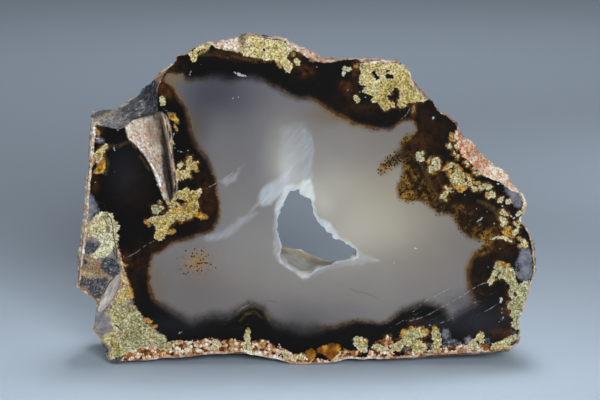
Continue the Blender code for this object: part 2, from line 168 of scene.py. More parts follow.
# Pale yellow and olive grains, as outlines and as strokes.
GRAIN_OUTLINES = [
    [(240, 37), (250, 35), (262, 37), (272, 39), (282, 41), (289, 45), (293, 50), (289, 54), (287, 58),
     (292, 63), (293, 68), (290, 73), (286, 72), (283, 67), (279, 62), (274, 60), (266, 61), (258, 58),
     (250, 57), (244, 56), (240, 51)],
    [(359, 63), (366, 62), (380, 63), (395, 62), (403, 64), (410, 71), (412, 78), (414, 87), (420, 94),
     (425, 97), (431, 98), (424, 102), (416, 102), (408, 104), (404, 108), (400, 109), (397, 104),
     (399, 98), (400, 91), (396, 87), (393, 90), (391, 94), (387, 97), (389, 100), (395, 103),
     (395, 108), (390, 109), (385, 111), (380, 107), (378, 103), (373, 103), (370, 99), (373, 97),
     (368, 94), (363, 93), (363, 89), (366, 86), (361, 85), (358, 82), (359, 78), (361, 74)],
    [(495, 262), (499, 261), (503, 265), (508, 267), (513, 268), (515, 274), (516, 280), (519, 284),
     (524, 281), (530, 281), (531, 285), (529, 290), (528, 296), (526, 301), (524, 308), (521, 314),
     (519, 319), (520, 326), (518, 330), (513, 328), (511, 323), (514, 320), (510, 315), (511, 310),
     (506, 308), (508, 303), (512, 300), (509, 296), (508, 290), (511, 286), (507, 283), (505, 280),
     (500, 279), (496, 279), (493, 283), (490, 286), (487, 281), (491, 275), (494, 269)],
    [(353, 338), (357, 336), (362, 337), (366, 339), (368, 343), (367, 348), (368, 353), (360, 353),
     (357, 348), (353, 344)],
    [(401, 333), (406, 330), (412, 328), (420, 327), (426, 329), (428, 333), (425, 337), (418, 338),
     (422, 342), (427, 344), (427, 349), (421, 353), (414, 354), (410, 347), (404, 346), (400, 352),
     (392, 352), (391, 345), (397, 341), (402, 339)],
    [(431, 330), (436, 328), (440, 331), (442, 338), (441, 346), (438, 352), (433, 352), (431, 347),
     (434, 342), (432, 337)],
    [(488, 350), (492, 344), (500, 341), (508, 337), (516, 334), (521, 334), (521, 342), (512, 350)],
    [(162, 192), (166, 200), (172, 200), (175, 194), (178, 190), (183, 190), (186, 187), (190, 190),
     (196, 190), (200, 187), (203, 189), (201, 194), (198, 199), (199, 206), (198, 210), (194, 213),
     (192, 218), (188, 219), (185, 216), (186, 220), (181, 222), (177, 220), (172, 224), (168, 229),
     (166, 234), (163, 240), (158, 241), (154, 239), (154, 235), (156, 230), (155, 226), (150, 222),
     (146, 223), (146, 220), (152, 217), (156, 216), (162, 216), (167, 213), (170, 208), (167, 204),
     (163, 200)],
    [(150, 205), (154, 204), (163, 206), (165, 209), (160, 212), (157, 215), (153, 214)],
    [(92, 222), (94, 216), (100, 212), (107, 211), (111, 214), (115, 220), (120, 226), (120, 229),
     (117, 232), (119, 238), (117, 242), (113, 246), (112, 252), (107, 256), (104, 258), (96, 259),
     (90, 256), (95, 252), (99, 247), (101, 243), (97, 239), (92, 238), (87, 237), (83, 234),
     (82, 230), (84, 226), (90, 227)],
    [(110, 312), (112, 308), (118, 307), (127, 307), (133, 305), (137, 309), (141, 314), (142, 321),
     (148, 325), (153, 329), (158, 334), (164, 335), (166, 340), (162, 343), (156, 344), (151, 346),
     (144, 346), (138, 349), (130, 351), (124, 355), (118, 357), (111, 360), (109, 354), (112, 351),
     (108, 345), (103, 340), (108, 336), (113, 330), (111, 323), (112, 317)],
    [(121, 271), (125, 276), (128, 283), (131, 290), (131, 297), (128, 304), (121, 306), (113, 308),
     (111, 304), (116, 297), (121, 290), (124, 284), (121, 277)],
]
GRAIN_STROKES = [
    [(297, 61, 3.2), (298, 64, 2.2)], [(345, 69, 2.8), (349, 69, 2.6)], [(344, 72, 2.4), (343, 75, 1.6)],
    [(356, 98, 3.2), (358, 101, 2.2)], [(418, 154, 2.6), (422, 154, 2.6)], [(418, 158, 2.6), (422, 159, 2.6)],
    [(436, 162, 5), (438, 166, 3)], [(431, 168, 3), (431, 171, 2.6)], [(434, 169, 3), (438, 168, 2.4)],
    [(446, 168, 2), (450, 165, 2.8), (453, 164, 1.4)], [(450, 146, 2.8)], [(456, 136, 2.6), (455, 140, 1.8)],
    [(456, 146, 2), (458, 149, 1.6)], [(454, 153, 1.6)], [(457.5, 156.5, 1.8)], [(466, 162, 2.2), (468, 165, 1.6)],
    [(474, 168, 2), (479, 168, 2)], [(475, 173, 1.6), (479, 174, 1.6)], [(458, 171, 3), (462, 175, 2.6)],
    [(460, 178, 4.4), (454, 180, 3.4)], [(459, 185, 3.6), (464, 183, 2.2)], [(452, 176, 2.6), (456, 174, 2.6)],
    [(468, 177, 2), (470, 180, 1.6)], [(470, 184, 2.4), (472, 186, 1.6)], [(475, 188.5, 3)],
    [(481, 188, 2.8), (486, 186, 3)], [(490, 187, 2.8), (488, 189, 2)], [(492, 195, 3.8), (489, 197, 2)],
    [(500, 200, 3.2), (502, 198, 2)], [(508, 202, 2.6), (510, 201, 2.2)], [(503, 212, 3), (506, 214, 2.4)],
    [(501, 218, 1.8), (504, 221, 3.4), (503, 225, 2.4)], [(516, 224, 2.6), (518, 227, 2)], [(520, 222, 2)],
    [(514, 233, 2.8), (517, 231, 2.2)], [(522, 240, 2.4), (525, 244, 3.6)], [(521, 246, 2)],
    [(445, 187, 1.3), (448, 190, 2), (444, 195, 2.6), (441, 198, 1.6)], [(451, 188, 1.5), (448, 191, 1.6)],
    [(446, 200, 1.8), (444, 196, 1.8)], [(453, 192, 0.8), (449, 191, 1.2)],
    [(490, 240, 0.8), (497, 237, 1.6), (505, 238, 2), (512, 241, 1.6)],
    [(521, 193, 1.8), (524, 198, 2.4), (525.5, 204, 2.6), (523, 211, 2.6), (518, 214, 2)], [(509, 186, 1.6)],
    [(477, 339, 2), (481, 335, 3.2), (482, 341, 2.6)], [(474, 342, 3), (470, 347, 3.4), (478, 347, 3.4)],
    [(248, 331, 2.6), (247, 337, 3.2), (248, 343, 3), (245, 348, 3), (250, 348, 3)],
    [(215, 342, 3.2), (219, 345, 2.6), (214, 347, 2.6)], [(285, 353, 3), (287, 357, 2.6)],
    [(298, 357, 3), (303, 357, 3)], [(106, 146, 2), (102, 150, 3.2), (98, 155, 4), (100, 158, 3)],
    [(98, 161, 2.4)], [(178, 172, 3), (181, 176, 4.4), (187, 171, 3)], [(190, 157, 2.2), (189, 162, 3)],
    [(191, 166, 4.4), (188, 169, 3)], [(193, 165, 2), (197, 163, 2)], [(179, 166, 2.4), (182, 164, 2)],
    [(187, 176, 2.4), (190, 177, 1.4)], [(176, 180, 2.4), (175, 185, 2)],
    [(112, 214, 0.6), (115, 220, 1), (117.5, 226, 1.6)], [(115.5, 232, 0.6), (118, 237, 1.3), (117, 243, 0.6)],
    [(188, 53, 1.6), (192, 54, 3), (194, 59, 3), (196, 51, 2.6)], [(197, 49, 2.2), (204, 47, 2.6)],
    [(206, 49, 2.2), (209, 45, 2)], [(388, 337, 2.2)], [(162, 98, 2.6), (163, 103, 3)],
    [(158, 347, 2.4), (166, 348, 3.2), (171, 345, 2.4)], [(376, 347, 3), (383, 349, 3.4)],
]
# Where the dark agate shows through them.
GAPS = [
    [(374, 74, 2.4), (377, 78, 2)], [(387, 76, 2), (392, 77, 2)], [(388, 71, 1)], [(515, 294, 1.8)],
    [(496, 277, 1), (501, 272, 1)], [(178, 200, 1.6), (182, 203, 3)], [(176, 206, 1.4)], [(186, 203, 1.8)],
    [(264, 50, 1.2)], [(108, 228, 2.4), (108, 231, 2)], [(415, 340, 0.8), (419, 339, 0.8)],
    [(122, 333, 1), (118, 337, 0.8)], [(144, 346, 1.4)], [(481, 181, 2.2), (487, 180.5, 2.2)],
    [(116, 325, 0.5), (119, 328, 0.5), (120, 334, 0.6)], [(124, 326, 0.5), (129, 320, 0.4)],
    [(513, 343.5, 1.8), (517, 341, 2)],
]
# Where the grains turn to golden and orange.
GOLD = [
    [(449, 174, 2), (451, 171, 1.6)], [(453, 184, 1.6), (461, 190, 2.6), (466, 187, 1.6)], [(457, 166, 1.8)],
    [(478, 183, 2), (474, 183, 1.6)], [(444, 169, 1.6), (447, 166, 1.6)], [(428, 162, 1.6), (431, 158, 1.2)],
    [(487, 193, 1.6), (487, 197, 1.2)],[(196, 214, 2.8), (201, 216, 3.2), (206, 217, 2)],
    [(146, 221, 2), (149, 225, 2)], [(169, 232, 2.6), (174, 231, 2)], [(160, 202, 2)], [(183, 205, 1.4), (191, 203, 1.6)],
    [(180, 208, 2), (175, 211, 1.4)], [(196, 168, 2.4), (197, 171, 1.6)],
    [(102, 164, 4), (101, 169, 4.4), (96, 172, 2.4)], [(94, 158, 1.6), (93, 163, 1.6)],
    [(146, 320, 2.2), (150, 322, 2.2)], [(153, 327, 2.2), (156, 326, 1.6)], [(130, 288, 1.6), (132, 297, 1.8)],
    [(452, 134, 2.2), (451, 139, 2.2)], [(447, 145, 1.6)], [(404, 331, 2.6), (402, 336, 2)],
    [(426, 331, 2.6), (422, 328, 2)], [(505, 226, 1.6)], [(84, 228, 2), (87, 230, 1.6)],
    [(411, 328, 2.2)], [(434, 328, 2.2), (438, 329, 1.6)], [(499, 262, 1.8), (508, 266, 2.4)],
    [(512, 236, 2.6), (504, 232, 2.4), (510, 228, 2)], [(519, 238, 2)], [(520, 246, 2)], [(262, 345, 3.4)],
    [(232, 342, 2.6), (234, 346, 2.2)], [(293, 54, 2.4)], [(173, 117, 3.6), (177, 121, 2.4), (169, 114, 1.6)],
    [(175, 126, 1.4), (177, 131, 0.8)], [(173, 144, 1.4)], [(366, 341, 1.8)], [(95, 128, 1.4), (98, 134, 2)],
    [(206, 50, 1.4), (200, 53, 1.2)], [(278, 63, 2), (281, 67, 1.6)],
    [(311, 60, 1.4), (314, 60, 1.4)], [(414, 107, 1.2), (413, 112, 1.2)], [(403, 93, 1.6)], [(373, 76, 1.4)],
    [(356, 66, 2.2)], [(119, 262, 1.2), (126, 266, 1.4)], [(248, 329, 2)], [(345, 351, 2.2)],
]
AMBER_CRYSTALS = [
    [(303, 354), (307, 350), (311, 348), (316, 350), (316, 357), (312, 360), (306, 358)],
    [(316, 350), (320, 347), (325, 345), (332, 343), (339, 344), (341, 349), (338, 354), (334, 358),
     (330, 361), (326, 356), (321, 354), (317, 353)],
]

# A gravel of brown, orange and cream bits along the lower edge, above the crust.
GRAVEL = [
    [(128, 352), (132, 347), (138, 346), (146, 347), (154, 344), (162, 345), (170, 341), (180, 340),
     (192, 341), (203, 339), (212, 338), (222, 340), (232, 338), (240, 341), (255, 341), (262, 339),
     (268, 341), (276, 346), (283, 348), (290, 351), (296, 355), (302, 352), (316, 358), (330, 361),
     (341, 350), (350, 351), (358, 350), (364, 354), (340, 362), (310, 365), (285, 362), (250, 355),
     (200, 356), (150, 360), (118, 361)],
    [(370, 348), (377, 341), (384, 338), (390, 337), (394, 342), (392, 352), (400, 358), (366, 358)],
    [(440, 348), (452, 346), (462, 344), (474, 344), (486, 343), (490, 346), (490, 353), (440, 355)],
    [(404, 349), (412, 350), (430, 350), (444, 350), (444, 356), (404, 357)],
]

# Patches of the grey rock that the agate grew in.
GREY = [
    [(100, 262), (106, 258), (114, 258), (119, 264), (120, 272), (118, 277), (112, 277), (105, 273),
     (100, 267)],
    [(76, 274), (82, 275), (90, 279), (98, 278), (110, 277), (106, 285), (103, 292), (101, 299),
     (95, 298), (90, 294), (87, 287), (80, 286), (75, 281)],
    [(83, 240), (90, 242), (98, 242), (99, 248), (95, 253), (88, 255), (84, 251)],
    [(79, 256), (85, 259), (89, 262), (84, 266), (80, 267)],
    [(112, 245), (115, 246), (117, 259), (114, 257)],
    [(510, 343), (513, 340), (519, 339), (519, 343), (513, 346)], [(517, 262), (522, 266), (519, 275), (516, 270)],
    [(443, 341), (448, 338), (455, 342), (462, 342), (464, 348), (452, 351), (443, 350)],
    [(428, 343), (433, 343), (434, 350), (428, 350)], [(403, 347), (410, 347), (411, 354), (404, 353)],
    [(484, 338), (490, 338), (492, 344), (486, 346)], [(510, 331), (517, 331), (516, 335), (510, 334)],
    [(101, 340), (105, 343), (109, 350), (107, 357), (103, 347)], [(110, 121), (99, 119), (98, 127), (106, 127)],
    [(110, 356), (124, 354.5), (140, 356), (151, 357.5), (140, 360.5), (122, 364), (110, 365)],
]
# Tan rock, beside the grey.
TAN = [
    [(89, 262), (98, 262), (101, 268), (105, 273), (109, 277), (98, 276), (88, 272), (82, 270), (80, 268)],
    [(84, 255), (90, 257), (103, 259), (100, 262), (88, 261)], [(82, 246), (87, 250), (86, 254), (81, 252)],
    [(82, 284), (88, 287), (92, 296), (101, 301), (99, 307), (92, 302), (84, 294), (80, 288)],
]
# Translucent blue-grey patches.
BLUISH = [
    [(85, 188), (91, 194), (96, 202), (99, 211), (94, 214), (91, 221), (88, 226), (83, 224), (84, 205)],
    [(109, 314), (111, 320), (109, 327), (107, 334), (102, 334), (97, 328), (98, 322), (102, 317)],
    [(444, 328), (449, 330), (450, 337), (446, 340), (441, 335)], [(450, 338), (460, 343), (453, 346)],
    [(464, 339), (470, 336), (472, 343), (466, 346)], [(118, 301), (124, 302), (125, 306), (118, 307), (115, 304)],
    [(505, 186), (512, 188), (519, 192), (523, 199), (521, 209), (515, 206), (510, 198), (505, 191)],
    [(98, 137), (103, 139), (104, 143), (95, 142)], [(100, 243), (97, 238), (90, 238), (92, 242)],
    [(108, 252), (112, 250), (114, 258), (108, 257)], [(120, 262), (123, 263), (124, 270), (121, 269)],
    [(521, 248), (527, 246), (532, 255), (533, 266), (533, 276), (528, 281), (521, 280), (515, 274), (516, 264),
     (519, 256)],
    [(98, 305), (104, 311), (101, 319), (96, 327), (92, 322), (94, 312)],
]
# The pale band along the trough at the lower left.
BAND = [[(118.5, 277, 2.4), (114, 285, 4.6), (109, 295, 5), (104, 304, 4.2), (100, 310, 2)]]
BAND_TURN = math.radians(63)
ROCK_GRAIN = math.radians(38)
LIP_TURN = math.radians(-82)
VEIL_TURN = math.radians(52)
# The corner where rock and grains take the place of the dark agate.
ROCK_CORNER = [
    (95, 216), (107, 211), (114, 222), (116, 234), (117, 246), (121, 258), (124, 266), (128, 280),
    (132, 294), (134, 304), (140, 312), (148, 325), (166, 337), (170, 352), (150, 362), (110, 366),
    (96, 340), (90, 325), (92, 303), (70, 288), (72, 262), (78, 240), (83, 228), (88, 222),
]
# Small white bits, the white edges of grains and a few painted highlights, as strokes.
WHITE_BITS_AND_HIGHLIGHTS = [
    # The first stroke and the one from (191, 71) to (190, 75) are painted highlights on the polish.
    [(234, 72, 0.6), (240, 75, 1.6), (246, 76.5, 0.8)], [(482, 218, 0.9), (480, 220, 1), (477, 222, 0.4)],
    [(474, 174.5, 1)], [(473, 179.5, 1)], [(498, 184, 1.3)], [(502.5, 206, 1.2)], [(511, 216, 1.3)],
    [(517, 215, 1.9)], [(514, 218, 1)], [(465, 195, 0.8)], [(494, 224, 0.9)], [(476, 209, 0.7)],
    [(501, 299, 1.7), (501, 303, 0.8)], [(502, 306, 0.2), (502, 314, 0.3)], [(503, 317, 0.7), (499, 323, 0.4)],
    [(174, 147, 0.2), (178, 151, 0.5), (184, 152.5, 0.3)], [(186, 151, 0.2), (190, 150, 0.2)],
    [(162, 107, 0.3), (167, 111, 0.5)], [(174, 133, 0.3), (172.5, 140, 0.3), (174, 146, 0.3)],
    [(95, 138, 1), (100, 139.5, 0.6)], [(157, 185, 0.5), (159, 180, 0.5)], [(191, 71, 0.3), (190, 75, 0.3)],
    [(355, 257.5, 0.4), (359, 257.2, 0.7)], [(374, 260, 0.4), (378, 261, 0.6)],
    [(201, 64, 0.3)], [(237, 344, 1.4)], [(279, 344, 0.6), (281, 348, 0.7)], [(433, 118, 1.4)], [(179, 333, 0.8), (183, 332, 0.4)],
    [(430, 325, 0.9)], [(348, 90, 0.7)], [(361, 88, 0.8)], [(366, 97, 0.9)], [(338, 103, 0.7)],
    [(360, 92, 0.7)], [(317, 67, 0.6)], [(415, 248, 0.9), (418, 249, 0.5)], [(394, 263, 0.9)],
    [(415, 274, 0.8)], [(233, 98, 0.8)], [(238, 97, 0.8)], [(164, 274, 0.8)], [(526, 293, 1.2)],
    [(114, 148, 0.6), (114, 151, 0.6)], [(95, 182, 0.7)], [(114, 172, 0.6)], [(114, 212, 0.6)],
    [(118, 130, 1)], [(468, 234, 0.7)], [(488, 267, 0.7)], [(500, 249, 0.7)], [(283, 328, 0.6)],
    [(113, 246, 1)], [(116, 273, 0.7)], [(365, 348, 1.2), (367, 352, 0.8)], [(487, 212, 0.6)],
    [(441, 113, 1.2), (444, 113, 0.6)], [(458, 127, 1), (460, 129, 0.8)], [(454, 122, 0.7)],
]
# Hair cracks, as lines of (column, row): white ones, and faint dark ones in the milk.
CRACKS = [
    [(410, 321), (418, 319), (430, 314), (440, 308), (450, 303), (465, 294), (477, 286), (490, 281)],
    [(409, 320), (414, 318), (419, 317)], [(414, 311), (421, 305), (427, 300), (434, 297), (448, 289)],
    [(434, 325), (440, 323), (447, 321), (452, 318)], [(128, 257), (137, 252), (146, 245), (156, 240)],
    [(209, 187), (219, 182), (231, 174), (242, 166.5)], [(236, 313), (242, 308), (247, 305.5)],
    [(470, 304), (477, 302)], [(484, 312), (490, 309), (496, 305)], [(399, 323), (404, 320), (409, 321)],
    [(110, 213), (114, 219), (115.5, 228), (117, 240), (120, 250)], [(410, 108), (407, 114), (403, 118)],
]
# Thin dark lines among the rock at the left.
FURROWS = [
    [(107, 214), (111, 219), (113, 228), (114, 238), (116, 247), (117, 258)], [(104, 218), (107, 224)],
    [(113.5, 278), (109, 283), (105.5, 289), (104, 293)], [(122, 259), (126, 264)], [(116, 325), (122, 331)],
]
# Pink, cream and brown lines between rock and agate, as strokes.
SEAMS = [
    [(108, 213, 0.3), (113, 220, 0.6), (114.5, 230, 0.8), (115.5, 240, 0.9), (117.5, 248, 1.2), (120, 256, 1.8),
     (122, 264, 1.4), (125, 274, 1.4), (128, 284, 1.4), (129.5, 290, 0.8)],
    [(121, 271, 1), (122, 280, 1.2), (120, 289, 1.4), (115, 297, 1.4), (110, 306, 1.2), (107, 312, 0.8)],
    [(80, 258, 0.6), (90, 259.5, 1.1), (101, 261, 0.8)], [(103.5, 284, 0.4), (102, 291, 0.8), (99, 301, 0.8)],
    [(119, 256, 1), (126, 257.5, 0.8), (131, 256.5, 0.3)], [(121, 259, 0.6), (126, 265, 0.7), (127.5, 268, 0.3)],
    [(80, 289, 0.6), (89, 295, 1.2), (96, 302, 1.2), (98, 308, 0.8)], [(83, 240, 0.4), (85, 250, 0.8), (80, 258, 0.5)],
    [(110, 342, 0.5), (110.5, 352, 0.6), (113, 358, 0.5)], [(82, 268, 0.4), (84, 276, 0.6), (79, 284, 0.4)],
]
# How warm and how light the grains are: (column, row, warmth, lightness).
GRAIN_KINDS = [
    (265, 47, 0.7, 0.17), (200, 50, 0.8, 0.1), (385, 68, 0.8, 0.12), (400, 95, 0.9, 0.04), (345, 72, 0.3, 0.08),
    (135, 330, 0.1, -0.06), (122, 315, 0.3, -0.04), (112, 345, 0.5, 0.02), (150, 338, 0.2, -0.06),
    (100, 220, 0.4, 0.12), (108, 245, 0.2, 0.2), (178, 205, 1.0, -0.04), (160, 228, 1.0, 0.02),
    (160, 207, 0.2, -0.04), (190, 165, 0.7, 0.06), (180, 176, 0.9, 0.06), (515, 300, 0.0, -0.02),
    (500, 270, 0.4, 0), (435, 165, 0.3, 0.08), (460, 180, 0.6, 0.04), (495, 200, 0.4, 0.1), (520, 240, 0.4, 0.06),
    (420, 340, 0.5, 0), (360, 345, 0.5, 0.1), (248, 340, 0.3, 0.08), (100, 152, 0.6, 0.08), (480, 345, 0.5, 0.08),
    (125, 290, 0.9, 0.06), (162, 100, 0.3, 0.1), (290, 355, 0.5, 0.1),
]
HALOS = [
    (458, 174, 34, 26, 1.0), (500, 225, 26, 22, 0.6), (185, 218, 24, 14, 0.9), (190, 165, 12, 14, 0.6),
    (400, 100, 20, 12, 0.4), (100, 158, 12, 14, 0.9), (145, 325, 20, 12, 0.5), (505, 300, 16, 30, 0.3),
    (265, 60, 30, 8, 0.6), (415, 335, 30, 10, 0.6), (128, 285, 8, 20, 0.8),
]
MOSS_SPOTS = [(197, 262, 11, 10, 0.62), (196, 262, 17, 15, 0.14)]
# Where the moss is darker.
GLOOM = [
    (472, 222, 22, 14, 1), (488, 216, 10, 8, 1), (407, 158, 10, 12, 0.8), (420, 190, 16, 14, 0.7),
    (437, 206, 10, 8, 0.6), (393, 161, 6, 5, 0.4), (197, 262, 20, 20, -0.6), (405, 194, 10, 8, -0.5),
    (458, 214, 6, 5, -0.3), (484, 240, 8, 4, -0.2), (485, 250, 8, 6, 0.6), (462, 212, 10, 6, 0.4),
]
SCRATCHES = [
    [(351, 289), (357, 292), (366, 293), (376, 298)], [(260, 302), (268, 301), (276, 302)],
    [(436, 200), (441, 208), (447, 214)],
]

# The white and bluish lining that the milk has near the cavity:
# (whiteness, blueness, softness of its edge in pixels, outline).
VEILS = [
    (0.25, 0.9, 7, [(284, 128), (303, 125), (307, 132), (308, 150), (308, 178), (290, 186), (282, 170)]),
    (0.7, 0.6, 3, [(273, 183), (280, 178), (286, 170), (291, 168), (289, 180), (284, 190), (277, 198),
                   (270, 203), (263, 205), (259, 203), (259, 197), (262, 190), (267, 186)]),
    (0.9, 0.45, 2, [(286, 186), (292, 184), (299, 184), (300, 189), (292, 190), (288, 194), (285, 203),
                    (280, 209), (277, 216), (275, 214), (277, 205), (281, 196)]),
    (0.8, 0.1, 1.5, [(299, 187), (303, 181), (308, 177), (311, 181), (313, 190), (315, 200), (312, 202),
                     (304, 197), (300, 192)]),
    (0.35, 1.0, 1.5, [(303, 127), (307, 132), (311, 137), (314, 145), (313, 156), (311, 166), (311, 178),
                      (306, 182), (303, 172), (304, 155), (303, 140)]),
    (0.9, 0.5, 2, [(319, 219), (324, 220), (330, 224), (335, 231), (338, 238), (344, 242), (336, 241),
                   (328, 232), (320, 224)]),
    (0.35, 0.65, 2.5, [(276, 212), (279, 214), (278, 226), (280, 240), (281, 250), (283, 262), (278, 260),
                       (274, 254), (274, 244), (274, 232), (274, 222)]),
    (0.25, 1.0, 2, [(280, 258), (286, 261), (296, 268), (303, 275), (312, 271), (325, 265), (340, 260),
                    (357, 257), (372, 258), (362, 264), (345, 265), (330, 268), (316, 274), (304, 280),
                    (295, 272), (283, 265)]),
    (0.3, 0.5, 2, [(353, 246), (360, 253), (372, 258), (380, 261), (372, 262), (357, 260), (356, 252)]),
    (0.3, 0.9, 3, [(257, 213), (253, 218), (243, 223), (236, 230), (226, 238), (206, 241), (206, 236),
                   (222, 233), (232, 226), (240, 219)]),
    (0.25, 0.5, 2, [(263, 202), (256, 208), (250, 214), (252, 209), (258, 203)]),
    (0.2, 0.7, 2, [(170, 235), (182, 233), (196, 231), (197, 234), (184, 237), (172, 239)]),
    (0.25, 0.2, 2, [(221, 181), (233, 174), (240, 170), (235, 180), (226, 187)]),
]

# The natural crust along the edge of the face: (column, row, width in pixels, how pale it is).
CRUST = [
    (92, 124, 2, 0.8), (91, 135, 3, 1), (90, 150, 3, 1), (88, 165, 2.6, 0.9), (86, 180, 2.2, 0.8),
    (84, 200, 2.2, 0.9), (82, 220, 2.2, 0.8), (80, 240, 2.4, 0.8), (77, 262, 2, 0.6), (75, 280, 1.8, 0.2),
    (80, 288, 1.6, 0.5), (88, 293, 1.6, 0.6), (96, 303, 0.6, 0.6), (95, 315, -0.5, 0.7), (94, 328, -1, 0.6),
    (101, 342, -1, 0.3), (108, 356, -0.5, 0.4), (114, 362, -1, 0.2), (130, 359, -1, 0.3), (150, 357, 1, 0.7),
    (170, 355, 2.5, 0.5), (190, 354, 2.5, 0.3), (210, 351, 2.8, 0.6), (230, 350, 2.4, 0.5), (250, 352, 2.8, 0.7),
    (270, 356, 3.2, 0.8), (290, 361, 2.4, 0.4), (310, 362, 1.8, 0.3), (330, 361, 1.8, 0.5), (350, 358, 2.4, 0.8),
    (370, 357, 2.4, 0.6), (390, 356, 2.2, 0.4), (410, 354, 2.4, 0.6), (430, 353, 2.2, 0.4), (450, 352, 2, 0.3),
    (470, 350, 2.4, 0.6), (490, 350, 2, 0.3), (510, 347, 1.8, 0.3), (521, 335, 1.4, 0.5), (522, 320, 1.2, 0.6),
    (526, 300, 1.5, 0.6), (531, 285, 1.4, 0.7), (534, 265, 1.2, 0.6), (533, 245, 1.2, 0.6), (527, 228, 1.2, 0.6),
    (525, 213, 2, 0.8), (527, 203, 2.4, 0.8), (522, 193, 1.4, 0.7), (515, 187, 1, 0.6), (498, 172, 1, 1),
    (480, 160, 0.7, 0.3), (458, 140, 1, 0.2), (450, 120, 0.5, 0.2), (436, 107, 0.5, 0.2), (428, 99, 0.8, 0.4),
    (414, 88, 1.2, 0.5), (408, 70, 1.4, 0.6), (395, 62, 1.4, 0.5), (370, 63, 1.4, 0.5), (350, 59, 1.2, 0.3),
    (335, 60, 1.8, 0.4), (320, 61, 1.4, 0.4), (304, 54, 1.8, 0.4), (292, 46, 3.6, 0.8), (280, 41, 2.2, 0.7),
    (265, 38, 1.6, 0.5), (250, 36, 1.2, 0.3), (235, 51, 1.6, 0.9), (222, 48, 1.8, 0.9), (215, 46, 1.6, 0.7),
    (200, 46, 0.8, 0.2),
    (188, 53, 0.6, 0.2), (177, 57, 1, 0.5), (168, 69, 0.5, 0.5),
]

# The broken and open parts of the rim, as the photograph shows them.
GREY_CHIP = [
    (86, 116), (98, 121), (102, 128), (110, 128), (118, 131), (126, 128), (134, 120), (147, 116.5),
    (158, 112), (159, 100), (157, 90), (159, 84), (150, 74), (130, 90), (110, 105),
]
FISSURE_LEFT = [
    (134, 120), (147, 117), (158, 113), (161, 120), (163, 135), (165, 150), (168, 170), (170, 190),
    (170, 201), (163, 196), (158, 183), (154, 172), (147, 158), (138, 147), (129, 139), (125, 127),
]
FISSURE_RIGHT = [
    (158, 111), (166, 118), (170, 145), (172, 160), (175, 180), (174, 195), (170, 202), (170, 190),
    (168, 170), (165, 150), (163, 135), (161, 120),
]
FISSURE_SHADE = [
    (145, 122), (152, 118), (158, 116), (162, 130), (162, 144), (156, 145), (149, 140), (146, 132),
]
# Painted shade: the dark inside of the fissure's deep crevice.
FISSURE_CREVICE_SHADE = [
    (158, 118), (161, 119), (164, 128), (167, 140), (169, 150), (170, 160), (171.5, 170), (173, 180),
    (174, 190), (172, 198), (170, 201), (168, 196), (166, 188), (164, 178), (162, 168), (161.5, 158),
    (161, 148), (161, 140), (160, 130),
]
FISSURE_LIP = [
    (161, 112), (166, 116), (170, 125), (172, 140), (172, 150), (173, 160), (175, 170), (177, 180),
    (177, 190), (173, 197), (174, 185), (172.5, 172), (171, 160), (169.5, 148), (167, 135), (163, 120),
]
# The tan upper rim of the grey chip.
CHIP_LEDGE = [(97, 119), (112, 113), (124, 104), (134, 92), (142, 84), (150, 79), (158, 75), (163, 72)]
PINK_CRUST = [
    (455, 126), (470, 130), (500, 160), (525, 190), (508, 190), (500, 183), (488, 181), (479, 178),
    (472, 166), (463, 158), (456, 150), (455, 139),
]
TOP_CRUST = [(270, 28), (296, 28), (312, 44), (322, 56), (300, 58), (288, 46), (272, 40)]
PINK_FACE = [
    (455, 130), (457, 147), (463, 157), (470, 163), (479, 169), (490, 177), (500, 182), (512, 190), (520, 190),
    (490, 160), (466, 130),
]
CHIP_PALE = [(96, 118), (108, 114), (120, 112), (128, 116), (124, 126), (112, 129), (100, 127)]
CAVITY_TAN = [
    (279, 246), (290, 247), (300, 250), (310, 254), (320, 259), (336, 262), (330, 268), (318, 266),
    (308, 261), (299, 257), (290, 254), (279, 253),
]
# The edge of the cavity, clockwise from its top, and its three corners by their places in it.
CAVITY_EDGE = [
    (298, 189), (301, 193.5), (306, 197.5), (311, 200), (312, 206), (314, 213), (318, 221), (322, 226),
    (326, 230), (331, 234), (336, 239.5), (341, 241), (346, 243), (351, 246), (355, 249), (357, 253),
    (356.5, 257), (354, 259), (345, 260.5), (336, 262), (330, 264.5), (324, 267), (318, 269.5),
    (312, 272.5), (307, 276.5), (303, 277), (299, 274), (296, 270.5), (291, 268), (286, 265),
    (281, 261.5), (280, 256), (281.5, 250), (281, 244), (279, 238), (277.5, 232), (277.5, 224),
    (278, 216), (280, 210), (283, 206.5), (284, 202), (286, 198.5), (287, 194), (289, 191.5), (293, 190.5),
]
CAVITY_CORNERS = (0, 15, 25, 30)
CAVITY_REACH = 8 * MM
LINING_SMOOTHING = 30
# How far the cavity's sides step back behind its front edge.
UNDERCUT = 0.45 * MM
# How jagged the cavity's front edge is.
JAG_SIZE = 0.7 * MM
JAG_DEPTH = 0.36 * MM

# The left side of the stone from its top to its foot, and its lower side from left to right.
LEFT_SIDE = [
    (91.5, 112), (91, 125), (89.5, 140), (88, 155), (86.5, 170), (85, 185), (83.5, 200), (82, 215),
    (80.3, 232), (78.3, 250), (76.3, 268), (75.6, 284),
]
LOWER_SIDE = [
    (160, 358), (180, 357), (200, 355.5), (222, 353.5), (245, 353.5), (262, 356.5), (280, 361.5), (292, 364.5),
    (322, 364.5), (338, 362), (352, 360), (400, 359.5), (440, 356.5), (480, 354), (508, 351.5), (519, 347),
]

# The trough that crosses the lower left corner: its ends in the CAD model, and how the visual
# model makes it slimmer and shallower and moves it.
TROUGH_ENDS = ((123, 266), (91, 319))
TROUGH_AREA = [(114, 257), (133, 269), (114, 301), (104, 316), (96, 330), (89, 330), (90, 294)]
TROUGH_HALF_WIDTH = 1.65 * MM
TROUGH_DEPTH = 0.9 * MM


